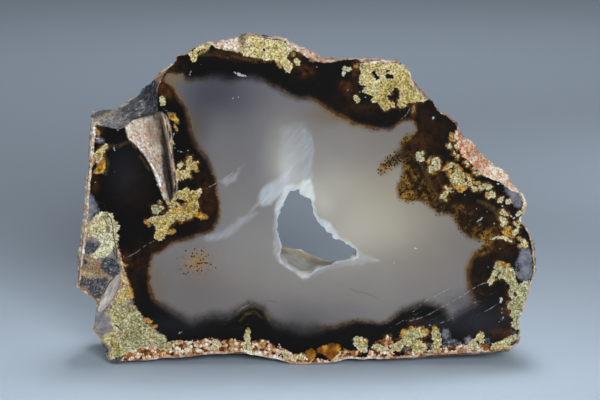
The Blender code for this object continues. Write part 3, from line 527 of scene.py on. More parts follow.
def spot(column, row, depth=0.0):
    """The (x, z) that this pixel shows, at a depth behind the polished face."""
    across = (column - PHOTO_MIDDLE[0]) * PIXEL / VIEW_DISTANCE
    up = (PHOTO_MIDDLE[1] - row) * PIXEL / VIEW_DISTANCE
    forward = math.cos(VIEW_TILT) + up * math.sin(VIEW_TILT)
    rise = up * math.cos(VIEW_TILT) - math.sin(VIEW_TILT)
    reach = (VIEW_DISTANCE * math.cos(VIEW_TILT) + depth) / forward
    return Vector((CAMERA_PLACE[0] + across * reach, CAMERA_PLACE[2] + rise * reach))


def pixels(places):
    """The photograph's (column, row) of each place."""
    away = places - np.array(CAMERA_PLACE)
    ahead = away[:, 1] * math.cos(VIEW_TILT) - away[:, 2] * math.sin(VIEW_TILT)
    up = away[:, 1] * math.sin(VIEW_TILT) + away[:, 2] * math.cos(VIEW_TILT)
    scale = VIEW_DISTANCE / PIXEL / ahead
    return np.stack([PHOTO_MIDDLE[0] + away[:, 0] * scale, PHOTO_MIDDLE[1] - up * scale], axis=1)


def smoothstep(value):
    """0 to 1 with level ends."""
    value = np.clip(value, 0.0, 1.0)
    return value * value * (3 - 2 * value)


FAR = 16.0


def outline_distance(at, outline, far=FAR):
    """Pixels from each point to an outline, negative inside it, and no more than far."""
    corners = np.array(outline, float)
    low, high = corners.min(0) - far, corners.max(0) + far
    near = np.all((at > low) & (at < high), axis=1)
    x, y = at[near].T
    nearest = np.full(len(x), far**2)
    inside = np.zeros(len(x), bool)
    for (ax, ay), (bx, by) in zip(corners, np.roll(corners, -1, axis=0)):
        run_x, run_y = bx - ax, by - ay
        share = np.clip(((x - ax) * run_x + (y - ay) * run_y) / (run_x**2 + run_y**2), 0, 1)
        nearest = np.minimum(nearest, (x - ax - share * run_x) ** 2 + (y - ay - share * run_y) ** 2)
        if ay != by:
            crosses = ((ay > y) != (by > y)) & (x < run_x * (y - ay) / run_y + ax)
            inside ^= crosses
    distance = np.full(len(at), far)
    distance[near] = np.where(inside, -1, 1) * np.sqrt(nearest)
    return distance


def stroke_distance(at, strokes, far=FAR):
    """Pixels from each point to the nearest of some round-ended strokes, negative inside."""
    distance = np.full(len(at), far)
    for stroke in strokes:
        ends = np.array(stroke, float)
        near = np.all((at > ends[:, :2].min(0) - far) & (at < ends[:, :2].max(0) + far), axis=1)
        x, y = at[near].T
        best = distance[near]
        for (ax, ay, a_radius), (bx, by, b_radius) in zip(ends, ends[1:] if len(ends) > 1 else ends):
            run_x, run_y = bx - ax, by - ay
            length = max(run_x**2 + run_y**2, 1e-9)
            share = np.clip(((x - ax) * run_x + (y - ay) * run_y) / length, 0, 1)
            gap = np.hypot(x - ax - share * run_x, y - ay - share * run_y)
            best = np.minimum(best, gap - a_radius - share * (b_radius - a_radius))
        distance[near] = best
    return distance


def line_offset(at, lines, far=FAR):
    """Pixels from each point to the nearest of some lines, with the side as its sign."""
    offset = np.full(len(at), far)
    for line in lines:
        ends = np.array(line, float)
        for (ax, ay), (bx, by) in zip(ends, ends[1:]):
            run_x, run_y = bx - ax, by - ay
            length = math.hypot(run_x, run_y)
            x, y = at[:, 0] - ax, at[:, 1] - ay
            share = np.clip((x * run_x + y * run_y) / length**2, 0, 1)
            gap = np.hypot(x - share * run_x, y - share * run_y)
            side = np.where(x * run_y - y * run_x < 0, -1, 1)
            offset = np.where(gap < np.abs(offset), gap * side, offset)
    return offset


def spots_field(at, soft_spots):
    """The sum of some soft spots at each point."""
    total = np.zeros(len(at))
    for column, row, across, up, strength in soft_spots:
        total += strength * np.exp(-(((at[:, 0] - column) / across) ** 2 + ((at[:, 1] - row) / up) ** 2))
    return total


def blended(at, rows):
    """Values given at some points, as (column, row, value, ...), blended over all points."""
    rows = np.array(rows, float)
    weights = np.zeros(len(at))
    total = np.zeros((len(at), rows.shape[1] - 2))
    for column, row, *values in rows:
        weight = 1 / ((at[:, 0] - column) ** 2 + (at[:, 1] - row) ** 2 + 4) ** 2
        weights += weight
        total += weight[:, None] * np.array(values)
    return (total / weights[:, None]).T


def lump(place, size):
    """Smooth noise of about -1 to 1 whose bumps measure about size."""
    return 1.6 * noise.noise(place / size)


def grain(place, size):
    """Rounded grains: 1 on top of each and 0 between them."""
    nearest = noise.voronoi(place / size, distance_metric="DISTANCE")[0][0]
    return max(0.0, 1 - (nearest / 0.62) ** 2)


def in_cavity(x, z):
    """Whether a wall's place belongs to the cavity and not to the rim."""
    return abs(x - 3 * MM) < 15 * MM and 13 * MM < z < 44 * MM


def cad_walls():
    """The CAD slice without its two sawn faces, finely divided."""
    shape = bmesh.new()
    shape.from_mesh(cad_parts["agate"].data)
    bmesh.ops.remove_doubles(shape, verts=shape.verts, dist=SAME)
    flats = [
        face for face in shape.faces
        if all(vert.co.y < FRONT_Y + SAME for vert in face.verts)
        or all(vert.co.y > -FRONT_Y - SAME for vert in face.verts)
    ]
    bmesh.ops.delete(shape, geom=flats, context="FACES")
    for _ in range(6):
        long = []
        for edge in shape.edges:
            middle = (edge.verts[0].co + edge.verts[1].co) / 2
            limit = FINE_EDGE if middle.y < FRONT_Y + FINE_DEPTH else COARSE_EDGE
            if in_cavity(middle.x, middle.z):
                limit = (FINE_EDGE + COARSE_EDGE) / 2
            if edge.is_boundary:
                limit = RIM_EDGE if middle.y < 0 else COARSE_EDGE
            if edge.calc_length() > limit:
                long.append(edge)
        if not long:
            break
        bmesh.ops.subdivide_edges(shape, edges=long, cuts=1)
        bmesh.ops.triangulate(shape, faces=[face for face in shape.faces if len(face.verts) > 3])
    return shape


def roughen(shape):
    """Rounds the CAD facets and raises the natural surface on the walls."""
    shape.verts.ensure_lookup_table()
    border = {vert for edge in shape.edges if edge.is_boundary for vert in edge.verts}
    free = [vert for vert in shape.verts if vert not in border]
    for _ in range(3):
        bmesh.ops.smooth_vert(shape, verts=free, factor=0.5, use_axis_x=True, use_axis_y=True, use_axis_z=True)
    lining = [vert for vert in free if in_cavity(vert.co.x, vert.co.z)]
    for _ in range(LINING_SMOOTHING):
        bmesh.ops.smooth_vert(shape, verts=lining, factor=0.5, use_axis_x=True, use_axis_y=False, use_axis_z=True)
    shape.normal_update()
    at = pixels(np.array([vert.co for vert in shape.verts]))
    chip = outline_distance(at, GREY_CHIP) < 1
    fissure = np.minimum(outline_distance(at, FISSURE_LEFT), outline_distance(at, FISSURE_RIGHT)) < 1
    trough = outline_distance(at, TROUGH_AREA) < 0
    moves = []
    for index, vert in enumerate(shape.verts):
        place = vert.co
        depth = place.y - FRONT_Y
        if vert in border:
            nudge = noise.noise_vector(place / (0.8 * MM)) * 0.1 * MM
            moves.append(Vector((nudge.x, 0, nudge.z)))
            continue
        if in_cavity(place.x, place.z):
            rise = 0.10 * (grain(place, 1.6 * MM) - 0.5) + 0.03 * lump(place, 0.6 * MM)
        elif trough[index] and depth < TROUGH_DEPTH:
            rise = 0.0
        elif fissure[index] and depth < 9 * MM:
            rise = 0.30 * (grain(place, 1.0 * MM) - 0.5) + 0.1 * lump(place, 0.5 * MM)
        elif chip[index] and depth < 9 * MM:
            rise = 0.22 * lump(place, 1.8 * MM) + 0.16 * lump(place, 0.7 * MM)
        else:
            rise = 0.30 * (grain(place, 1.3 * MM) - 0.5) + 0.25 * lump(place, 3 * MM)
            rise += 0.12 * lump(place, 0.6 * MM)
            if vert.normal.z < -0.3:
                rise = min(rise, 0.1 * depth / MM)
        ends = min(depth, THICKNESS - depth)
        moves.append(vert.normal * rise * MM * float(smoothstep(ends / (0.8 * MM))))
    for vert, move in zip(shape.verts, moves):
        vert.co += move
        vert.co.z = max(vert.co.z, 0.0)


def along_line(points, share):
    """Places along a line of points, by their share of its length."""
    steps = np.hypot(*np.diff(points, axis=0).T)
    length = np.concatenate([[0], np.cumsum(steps)])
    return np.stack([np.interp(share * length[-1], length, points[:, k]) for k in (0, 1)], axis=1)


def lengths_along(points):
    """How far along a line of points each of them is, from 0 to 1."""
    length = np.concatenate([[0], np.cumsum(np.hypot(*np.diff(points, axis=0).T))])
    return length / length[-1]


def loop_of(shape, chosen):
    """The border vertices that are chosen, in their order round the edge."""
    start = min((vert for vert in shape.verts if chosen(vert)), key=lambda vert: tuple(vert.co))
    loop, last, vert = [start], None, start
    while True:
        ahead = [edge.other_vert(vert) for edge in vert.link_edges if edge.is_boundary]
        step = ahead[0] if ahead[0] is not last else ahead[1]
        if step is start:
            return loop
        loop.append(step)
        last, vert = vert, step


def fit_cavity(shape):
    """Moves the cavity's front edge to where the photograph shows it, and the wall behind it too."""
    target = np.array([spot(*pixel) for pixel in CAVITY_EDGE])
    loop = loop_of(shape, lambda vert: vert.is_boundary and vert.co.y < 0 and in_cavity(vert.co.x, vert.co.z))
    start = np.array([(vert.co.x, vert.co.z) for vert in loop])
    twist = (start[:, 0] * np.roll(start[:, 1], -1) - start[:, 1] * np.roll(start[:, 0], -1)).sum()
    if twist > 0:
        loop, start = loop[::-1], start[::-1]
    corners = [int(np.argmin(((start - target[number]) ** 2).sum(axis=1))) for number in CAVITY_CORNERS]
    loop, start = loop[corners[0]:] + loop[:corners[0]], np.roll(start, -corners[0], axis=0)
    corners = [(number - corners[0]) % len(loop) for number in corners] + [len(loop)]
    ends = list(CAVITY_CORNERS) + [len(target)]
    closed_start, closed_target = np.vstack([start, start[:1]]), np.vstack([target, target[:1]])
    fitted = np.zeros_like(start)
    for a, b, c, d in zip(corners, corners[1:], ends, ends[1:]):
        share = lengths_along(closed_start[a:b + 1])
        fitted[a:b] = along_line(closed_target[c:d + 1], share)[:-1]
    for number, (x, z) in enumerate(fitted):
        jag = noise.noise_vector(Vector((x, 0, z)) / JAG_SIZE) * JAG_DEPTH
        fitted[number] = x + jag.x, z + jag.z
    moves = fitted - start
    ahead, behind = np.roll(fitted, -3, axis=0), np.roll(fitted, 3, axis=0)
    outward = np.stack([behind[:, 1] - ahead[:, 1], ahead[:, 0] - behind[:, 0]], axis=1)
    outward /= np.hypot(*outward.T)[:, None]
    steps_back = outward * (UNDERCUT * smoothstep((outward[:, 1] + 0.6) / 0.5))[:, None]
    tree = kdtree.KDTree(len(loop))
    for number, (x, z) in enumerate(start):
        tree.insert((x, z, 0), number)
    tree.balance()
    for vert in shape.verts:
        depth = vert.co.y - FRONT_Y
        if depth > SAME and in_cavity(vert.co.x, vert.co.z):
            near = tree.find_n((vert.co.x, vert.co.z, 0), 8)
            numbers = [number for _, number, _ in near]
            weights = np.array([1 / (gap + 0.3 * MM) ** 2 for _, _, gap in near])
            weights /= weights.sum()
            follow = 1 - float(smoothstep(depth / CAVITY_REACH))
            back = float(smoothstep(depth / (1.5 * MM)))
            move = weights @ (moves[numbers] * follow + steps_back[numbers] * back)
            vert.co.x += move[0]
            vert.co.z += move[1]
    for vert, (x, z) in zip(loop, fitted):
        vert.co.x, vert.co.z = x, z


def fit_left_side(shape):
    """Brings what bulges past the left side of the photographed stone back to it."""
    columns, rows = np.array(LEFT_SIDE).T
    at = pixels(np.array([vert.co for vert in shape.verts]))
    limits = np.interp(at[:, 1], rows, columns)
    for vert, (column, row), limit in zip(shape.verts, at, limits):
        if rows[0] < row < rows[-1] and column < limit:
            vert.co.x += (limit - column) * 0.9 * PIXEL


def fit_lower_side(shape):
    """Lifts what hangs below the lower side of the photographed stone behind its edge."""
    columns, rows = np.array(LOWER_SIDE).T
    at = pixels(np.array([vert.co for vert in shape.verts]))
    limits = np.interp(at[:, 0], columns, rows)
    for vert, (column, row), limit in zip(shape.verts, at, limits):
        behind = vert.co.y > FRONT_Y + SAME
        if behind and columns[0] < column < columns[-1] and row > limit:
            ends = min(column - columns[0], columns[-1] - column)
            vert.co.z += (row - limit) * PIXEL * float(smoothstep(ends / 10))


def fit_trough(shape):
    """Makes the trough's upper end round and the whole of it slimmer and shallower."""
    start, end = (spot(*pixel) for pixel in TROUGH_ENDS)
    along = (end - start).normalized()
    across = Vector((-along.y, along.x))
    at = pixels(np.array([vert.co for vert in shape.verts]))
    within = outline_distance(at, TROUGH_AREA) < 0
    for vert, chosen in zip(shape.verts, within):
        depth = vert.co.y - FRONT_Y
        if not chosen or depth > TROUGH_DEPTH:
            continue
        place = Vector((vert.co.x, vert.co.z)) - start
        u, v = place.dot(along), place.dot(across)
        if abs(v) > TROUGH_HALF_WIDTH * 1.15:
            continue
        kept = 1 - float(smoothstep((u - 5 * MM) / (4 * MM)))
        near_end = 1 - float(smoothstep(u / (3 * MM)))
        bow = 1 - math.sqrt(max(0.0, 1 - (v / (TROUGH_HALF_WIDTH * 1.16)) ** 2))
        u += 2.0 * MM * (1 - float(smoothstep(u / (8 * MM)))) + 1.3 * MM * bow * near_end
        v = v * (1 - 0.38 * kept) + 0.7 * MM * kept * float(smoothstep((u - 1 * MM) / (4 * MM)))
        vert.co.x, vert.co.z = start + along * u + across * v
        vert.co.y = FRONT_Y + depth * (1 - 0.4 * kept) * (1 - 0.5 * near_end)


def borders(shape, front):
    """The open edges along one sawn face, as pairs of vertex numbers."""
    shape.verts.index_update()
    return [
        (edge.verts[0].index, edge.verts[1].index) for edge in shape.edges
        if edge.is_boundary and (edge.verts[0].co.y < 0) == front
    ]


def inside(points, corners, edges):
    """Whether each point lies within the edges, by how many of them a ray crosses."""
    found = np.zeros(len(points), bool)
    ends = corners[np.array(edges)]
    for (ax, ay), (bx, by) in ends:
        if ay == by:
            continue
        low, high = min(ay, by), max(ay, by)
        rows = np.nonzero((points[:, 1] >= low) & (points[:, 1] < high))[0]
        x, y = points[rows].T
        found[rows] ^= x < (bx - ax) * (y - ay) / (by - ay) + ax
    return found


def hexagons(low, high, gap):
    """Points on a grid of even triangles."""
    rows = int((high[1] - low[1]) / (gap * math.sqrt(0.75))) + 1
    columns = int((high[0] - low[0]) / gap) + 1
    row, column = np.mgrid[0:rows, 0:columns]
    x = low[0] + (column + 0.5 * (row % 2)) * gap
    z = low[1] + row * gap * math.sqrt(0.75)
    return np.stack([x.ravel(), z.ravel()], axis=1)


def busy(points):
    """Whether each (x, z) of the polished face has a pattern that needs a fine mesh."""
    places = np.stack([points[:, 0], np.full(len(points), FRONT_Y), points[:, 1]], axis=1)
    at = pixels(places)
    found = outline_distance(at, MILK) > -13
    for _, _, softness, outline in VEILS:
        found |= outline_distance(at, outline) < softness + 1
    found |= np.abs(line_offset(at, CRACKS + SCRATCHES)) < 3
    found |= stroke_distance(at, MOSS + WHITE_BITS_AND_HIGHLIGHTS) < 6
    return found


def fill(corners, edges, gaps, chosen):
    """Triangles over a sawn face, finer where chosen: (added points, triangles by number)."""
    used = sorted({number for edge in edges for number in edge})
    place_of = {number: place for place, number in enumerate(used)}
    rim = corners[used]
    links = [(place_of[a], place_of[b]) for a, b in edges]
    tree = kdtree.KDTree(len(rim))
    for number, (x, z) in enumerate(rim):
        tree.insert((x, z, 0), number)
    tree.balance()
    added = []
    for gap, wanted in gaps:
        grid = hexagons(rim.min(0), rim.max(0), gap)
        grid = grid[inside(grid, rim, links)]
        if chosen is not None:
            grid = grid[chosen(grid) == wanted]
        added += [(x, z) for x, z in grid if tree.find((x, z, 0))[2] > 0.55 * gap]
    points = np.concatenate([rim, np.array(added)])
    out = delaunay_2d_cdt([Vector(p) for p in points], links, [], 0, 1e-9, True)
    triangles = np.array(out[2])
    flat = np.array([tuple(p) for p in out[0]])
    triangles = triangles[inside(flat[triangles].mean(axis=1), rim, links)]
    origin = np.array([ids[0] if ids else -1 for ids in out[3]])
    triangles = origin[triangles]
    triangles = triangles[(triangles >= 0).all(axis=1)]
    a, b, c = (points[triangles[:, k]] for k in range(3))
    turn = (b[:, 0] - a[:, 0]) * (c[:, 1] - a[:, 1]) - (b[:, 1] - a[:, 1]) * (c[:, 0] - a[:, 0])
    triangles[turn < 0] = triangles[turn < 0][:, ::-1]
    return used, np.array(added), triangles


def make_slice():
    """The whole stone as one closed mesh, with a material number for each of its surfaces."""
    shape = cad_walls()
    roughen(shape)
    fit_left_side(shape)
    fit_lower_side(shape)
    fit_cavity(shape)
    fit_trough(shape)
    shape.verts.index_update()
    places = np.array([vert.co for vert in shape.verts])
    walls = np.array([[vert.index for vert in face.verts] for face in shape.faces])
    middles = places[walls].mean(axis=1)
    trough = outline_distance(pixels(middles), TROUGH_AREA) < 0
    kinds = [
        LINING if in_cavity(x, z) else POLISHED if in_trough and y < FRONT_Y + TROUGH_DEPTH else ROUGH
        for (x, y, z), in_trough in zip(middles, trough)
    ]
    front, back = borders(shape, True), borders(shape, False)
    shape.free()
    flat = places[:, [0, 2]]
    faces = [walls]
    rim_edges = front
    for y, edges, gaps, chosen, kind in (
        (FRONT_Y, front, [(BUSY_GAP, True), (CALM_GAP, False)], busy, POLISHED),
        (-FRONT_Y, back, [(BACK_GAP, True)], None, SAWN),
    ):
        used, added, triangles = fill(flat, edges, gaps, chosen)
        numbers = np.concatenate([np.array(used), len(places) + np.arange(len(added))])
        places = np.concatenate([places, np.stack([added[:, 0], np.full(len(added), y), added[:, 1]], axis=1)])
        faces.append(numbers[triangles] if kind == POLISHED else numbers[triangles][:, ::-1])
        kinds += [kind] * len(triangles)
    faces = np.concatenate(faces)
    mesh = bpy.data.meshes.new("agate_stone")
    mesh.from_pydata(places.tolist(), [], faces.tolist())
    mesh.polygons.foreach_set("material_index", kinds)
    mesh.shade_smooth()
    mesh.update()
    mesh.set_sharp_from_angle(angle=math.radians(60))
    return mesh, places, flat, rim_edges


def tone(red, green, blue):
    """A colour given as on a screen, 0 to 255, in the renderer's linear values."""
    parts = [value / 255 for value in (red, green, blue)]
    return tuple(p / 12.92 if p <= 0.04045 else ((p + 0.055) / 1.055) ** 2.4 for p in parts) + (1,)


class Nodes:
    """A material's node tree, with a short call for each kind of node."""

    def __init__(self, name):
        self.material = bpy.data.materials.new(name)
        self.material.use_nodes = True
        self.tree = self.material.node_tree
        self.surface = self.tree.nodes["Principled BSDF"]
        self.place = self.tree.nodes.new("ShaderNodeTexCoord").outputs["Object"]

    def put(self, socket, value):
        if isinstance(value, bpy.types.NodeSocket):
            self.tree.links.new(value, socket)
        else:
            socket.default_value = value

    def layer(self, name):
        """One of the mesh's own values."""
        node = self.tree.nodes.new("ShaderNodeAttribute")
        node.attribute_name = name
        return node.outputs["Fac"]

    def sum(self, operation, first, second=0.0, third=0.0):
        node = self.tree.nodes.new("ShaderNodeMath")
        node.operation = operation
        for socket, value in zip(node.inputs, (first, second, third)):
            self.put(socket, value)
        return node.outputs[0]

    def add(self, first, second):
        return self.sum("ADD", first, second)

    def times(self, first, second):
        return self.sum("MULTIPLY", first, second)

    def step(self, value, low, high):
        """0 below low, 1 above high and smooth between."""
        node = self.tree.nodes.new("ShaderNodeMapRange")
        node.interpolation_type = "SMOOTHSTEP"
        self.put(node.inputs["Value"], value)
        self.put(node.inputs["From Min"], low)
        self.put(node.inputs["From Max"], high)
        return node.outputs["Result"]

    def mix(self, share, first, second):
        node = self.tree.nodes.new("ShaderNodeMix")
        node.data_type = "RGBA"
        self.put(node.inputs["Factor"], share)
        sockets = [socket for socket in node.inputs if socket.type == "RGBA"]
        self.put(sockets[0], first)
        self.put(sockets[1], second)
        return [socket for socket in node.outputs if socket.type == "RGBA"][0]

    def stretched(self, turn, along):
        """The place, so that a texture runs along a direction turned from +X towards +Z."""
        node = self.tree.nodes.new("ShaderNodeMapping")
        node.vector_type = "TEXTURE"
        node.inputs["Rotation"].default_value = (0, -turn, 0)
        node.inputs["Scale"].default_value = (along, 1, 1)
        self.put(node.inputs["Vector"], self.place)
        return node.outputs[0]

    def noise(self, size, detail=2.0, roughness=0.5, place=None):
        """Smooth noise of about 0 to 1 whose bumps measure about size."""
        node = self.tree.nodes.new("ShaderNodeTexNoise")
        node.inputs["Scale"].default_value = 1 / size
        node.inputs["Detail"].default_value = detail
        node.inputs["Roughness"].default_value = roughness
        self.put(node.inputs["Vector"], place or self.place)
        return node.outputs[0]

    def cells(self, size, place=None):
        """Grains of about a size: (distance from each one's middle, a random value for each)."""
        node = self.tree.nodes.new("ShaderNodeTexVoronoi")
        node.inputs["Scale"].default_value = 1 / size
        self.put(node.inputs["Vector"], place or self.place)
        split = self.tree.nodes.new("ShaderNodeSeparateColor")
        self.put(split.inputs[0], node.outputs["Color"])
        return node.outputs["Distance"], split.outputs[0], split.outputs[1]

    def ramp(self, value, stops):
        """Colours along a value: stops of (place, colour)."""
        node = self.tree.nodes.new("ShaderNodeValToRGB")
        self.put(node.inputs[0], value)
        points = node.color_ramp.elements
        while len(points) < len(stops):
            points.new(0.5)
        for point, (place, colour) in zip(points, stops):
            point.position = place
            point.color = colour
        return node.outputs[0]

    def bump(self, height, distance, strength=1.0):
        node = self.tree.nodes.new("ShaderNodeBump")
        node.inputs["Distance"].default_value = distance
        node.inputs["Strength"].default_value = strength
        self.put(node.inputs["Height"], height)
        self.put(self.surface.inputs["Normal"], node.outputs[0])


def grain_colour(nodes, gold):
    """Crystalline yellow, olive and cream grains, golden where gold is 1."""
    gap, pick, other = nodes.cells(0.38 * MM)
    mottle = nodes.add(nodes.times(nodes.noise(1.1 * MM, 3, 0.6), 0.7), nodes.times(pick, 0.3))
    drift = nodes.add(nodes.noise(3.5 * MM, 2), -0.5)
    level = nodes.add(nodes.add(mottle, nodes.layer("grain_light")), nodes.times(drift, 0.35))
    cool = nodes.ramp(level, [
        (0.25, tone(96, 97, 62)), (0.45, tone(144, 144, 100)), (0.6, tone(178, 176, 134)), (0.8, tone(218, 216, 192)),
    ])
    sunny = nodes.ramp(level, [
        (0.25, tone(104, 80, 24)), (0.45, tone(154, 132, 58)), (0.6, tone(192, 170, 94)), (0.8, tone(226, 212, 160)),
    ])
    warmth = nodes.add(nodes.layer("grain_warm"), nodes.times(nodes.add(nodes.noise(2.6 * MM, 2), -0.5), 1.6))
    pale = nodes.mix(nodes.step(warmth, 0.0, 1.0), cool, sunny)
    # The fine speckle is partly the grains' own light and dark crystals, partly painted glints and painted shade in
    # tiny recesses.
    fine = nodes.noise(0.26 * MM, 2)
    pale = nodes.mix(nodes.times(nodes.step(fine, 0.56, 0.66), 0.8), pale, tone(62, 54, 26))
    pale = nodes.mix(nodes.times(nodes.step(fine, 0.44, 0.34), 0.45), pale, tone(236, 232, 214))
    pale_edge = nodes.step(nodes.layer("grain"), -2.0, -0.4)
    pale = nodes.mix(nodes.times(pale_edge, 0.35), pale, tone(220, 214, 186))
    rich = nodes.ramp(nodes.noise(0.7 * MM, 3, 0.6), [
        (0.36, tone(116, 66, 12)), (0.46, tone(170, 110, 20)), (0.55, tone(204, 146, 34)), (0.68, tone(224, 184, 84)),
    ])
    colour = nodes.mix(gold, pale, rich)
    # Darker between the grains: partly dark joints, partly painted shade in the crevices.
    return nodes.mix(nodes.times(nodes.step(gap, 0.45, 0.75), 0.5), colour, tone(66, 54, 26))


def crust_colour(nodes):
    """The natural rind: a chaos of cream, tan, pink, rusty and dark grains, paler in places."""
    gap, pick, other = nodes.cells(0.6 * MM)
    mottle = nodes.noise(1.5 * MM, 4, 0.65)
    dusky = nodes.ramp(mottle, [
        (0.32, tone(52, 38, 30)), (0.43, tone(128, 92, 68)), (0.52, tone(172, 132, 106)), (0.62, tone(194, 166, 140)),
        (0.75, tone(212, 200, 184)),
    ])
    beads = nodes.ramp(pick, [
        (0.0, tone(158, 130, 102)), (0.3, tone(196, 178, 152)), (0.7, tone(216, 206, 188)), (1.0, tone(230, 228, 222)),
    ])
    share = nodes.add(nodes.layer("crust_pale"), nodes.times(nodes.add(nodes.noise(2.4 * MM, 3), -0.5), 2.0))
    colour = nodes.mix(nodes.step(share, 0.3, 0.7), dusky, beads)
    stain = nodes.noise(3.4 * MM, 4, 0.6)
    colour = nodes.mix(nodes.times(nodes.step(stain, 0.54, 0.64), 0.5), colour, tone(170, 96, 66))
    fine = nodes.noise(0.3 * MM, 2)
    colour = nodes.mix(nodes.times(nodes.step(fine, 0.55, 0.72), 0.6), colour, tone(84, 60, 44))
    return nodes.mix(nodes.times(nodes.step(gap, 0.5, 0.8), 0.5), colour, tone(60, 44, 34))


def pink_colour(nodes):
    """The salmon and cream crust at the upper right."""
    pick = nodes.cells(0.36 * MM)[1]
    paleness = nodes.add(nodes.times(nodes.layer("crust_pale"), 0.36), nodes.times(nodes.noise(1.6 * MM, 3), 0.5))
    colour = nodes.ramp(nodes.add(nodes.times(pick, 0.6), nodes.add(paleness, -0.16)), [
        (0.06, tone(112, 62, 40)), (0.2, tone(184, 104, 70)), (0.42, tone(204, 142, 106)), (0.62, tone(216, 190, 156)),
        (0.85, tone(238, 234, 226)),
    ])
    fine = nodes.noise(0.24 * MM, 2)
    return nodes.mix(nodes.times(nodes.step(fine, 0.6, 0.68), 0.7), colour, tone(70, 52, 44))


def rock_colour(nodes, stretch=1.2, size=0.36 * MM):
    """The grey rock, finely speckled and streaky."""
    along = nodes.stretched(ROCK_GRAIN, stretch)
    streaks = nodes.noise(1.5 * size, 4, 0.75, along)
    base = nodes.ramp(streaks, [
        (0.36, tone(26, 28, 32)), (0.46, tone(50, 54, 61)), (0.55, tone(74, 78, 86)), (0.68, tone(116, 117, 120)),
    ])
    gap, pick, other = nodes.cells(size, along)
    base = nodes.mix(nodes.times(nodes.step(pick, 0.78, 0.86), 0.8), base, tone(20, 20, 23))
    return nodes.mix(nodes.times(nodes.step(other, 0.91, 0.96), 0.5), base, tone(164, 164, 162))


def matrix_colour(nodes):
    """The corner where grey, tan and cream rock are mixed."""
    mottle = nodes.noise(1.8 * MM, 4, 0.65)
    colour = nodes.ramp(mottle, [
        (0.32, tone(64, 62, 62)), (0.44, tone(112, 106, 104)), (0.52, tone(134, 118, 92)), (0.62, tone(172, 158, 118)),
    ])
    fine = nodes.noise(0.25 * MM, 3)
    colour = nodes.mix(nodes.times(nodes.step(fine, 0.52, 0.7), 0.55), colour, tone(62, 52, 40))
    return nodes.mix(nodes.times(nodes.step(fine, 0.46, 0.3), 0.4), colour, tone(206, 194, 168))


def tan_colour(nodes):
    """Sandy rock, tan with dark and rusty grains."""
    fine = nodes.noise(0.4 * MM, 4, 0.7)
    colour = nodes.ramp(fine, [
        (0.36, tone(66, 56, 44)), (0.48, tone(112, 96, 72)), (0.58, tone(142, 122, 90)), (0.7, tone(178, 156, 116)),
    ])
    return nodes.mix(nodes.times(nodes.step(nodes.noise(2.2 * MM, 3), 0.55, 0.65), 0.4), colour, tone(160, 92, 56))


def band_colour(nodes):
    """The pale grey band in the trough, streaked along it."""
    streaks = nodes.noise(0.5 * MM, 3, 0.6, nodes.stretched(BAND_TURN, 5.0))
    return nodes.ramp(streaks, [
        (0.3, tone(134, 124, 118)), (0.48, tone(158, 152, 147)), (0.58, tone(172, 168, 162)), (0.72, tone(198, 194, 188)),
    ])


def seam_colour(nodes):
    """The pink, cream and brown lines between rock and agate."""
    return nodes.ramp(nodes.noise(0.5 * MM, 4, 0.7), [
        (0.36, tone(96, 62, 40)), (0.45, tone(184, 122, 88)), (0.52, tone(212, 174, 138)), (0.6, tone(230, 222, 204)),
    ])


def fissure_colour(nodes):
    """The fissure's walls: cream grains with pink and orange ones, with painted shade deeper in and a painted dark
    crevice.
    """
    gap, pick, other = nodes.cells(0.42 * MM)
    colour = nodes.ramp(pick, [
        (0.0, tone(176, 104, 68)), (0.12, tone(204, 160, 122)), (0.25, tone(210, 196, 174)), (0.7, tone(220, 212, 198)),
        (0.92, tone(240, 240, 242)),
    ])
    worn = nodes.noise(1.5 * MM, 3)
    colour = nodes.mix(nodes.times(nodes.step(worn, 0.5, 0.64), 0.5), colour, tone(182, 160, 128))
    colour = nodes.mix(nodes.times(nodes.step(gap, 0.45, 0.8), 0.35), colour, tone(120, 92, 68))
    shade = nodes.mix(nodes.noise(0.6 * MM, 3), tone(96, 76, 62), tone(160, 136, 112))
    colour = nodes.mix(nodes.times(nodes.layer("shade"), 0.7), colour, shade)
    stripes = nodes.ramp(nodes.noise(0.35 * MM, 3, 0.6, nodes.stretched(LIP_TURN, 5.0)), [
        (0.42, tone(40, 28, 20)), (0.5, tone(118, 92, 70)), (0.6, tone(192, 170, 140)),
    ])
    colour = nodes.mix(nodes.layer("lip"), colour, stripes)
    # Painted shade: the crevice is painted nearly black.
    return nodes.mix(nodes.times(nodes.layer("deep"), 0.92), colour, tone(30, 20, 14))


def gravel_colour(nodes):
    """Brown, orange and cream bits."""
    gap, pick, other = nodes.cells(0.6 * MM)
    kind = nodes.add(nodes.times(pick, 0.6), nodes.times(nodes.noise(2.2 * MM, 3, 0.6), 0.4))
    colour = nodes.ramp(kind, [
        (0.14, tone(30, 18, 12)), (0.28, tone(84, 46, 20)), (0.4, tone(160, 98, 42)), (0.5, tone(196, 150, 104)),
        (0.6, tone(214, 190, 156)), (0.7, tone(230, 224, 210)), (0.82, tone(176, 102, 64)),
    ])
    fine = nodes.noise(0.3 * MM, 3)
    colour = nodes.mix(nodes.times(nodes.step(fine, 0.52, 0.68), 0.6), colour, tone(54, 34, 22))
    return nodes.mix(nodes.times(nodes.step(gap, 0.42, 0.75), 0.5), colour, tone(34, 22, 16))


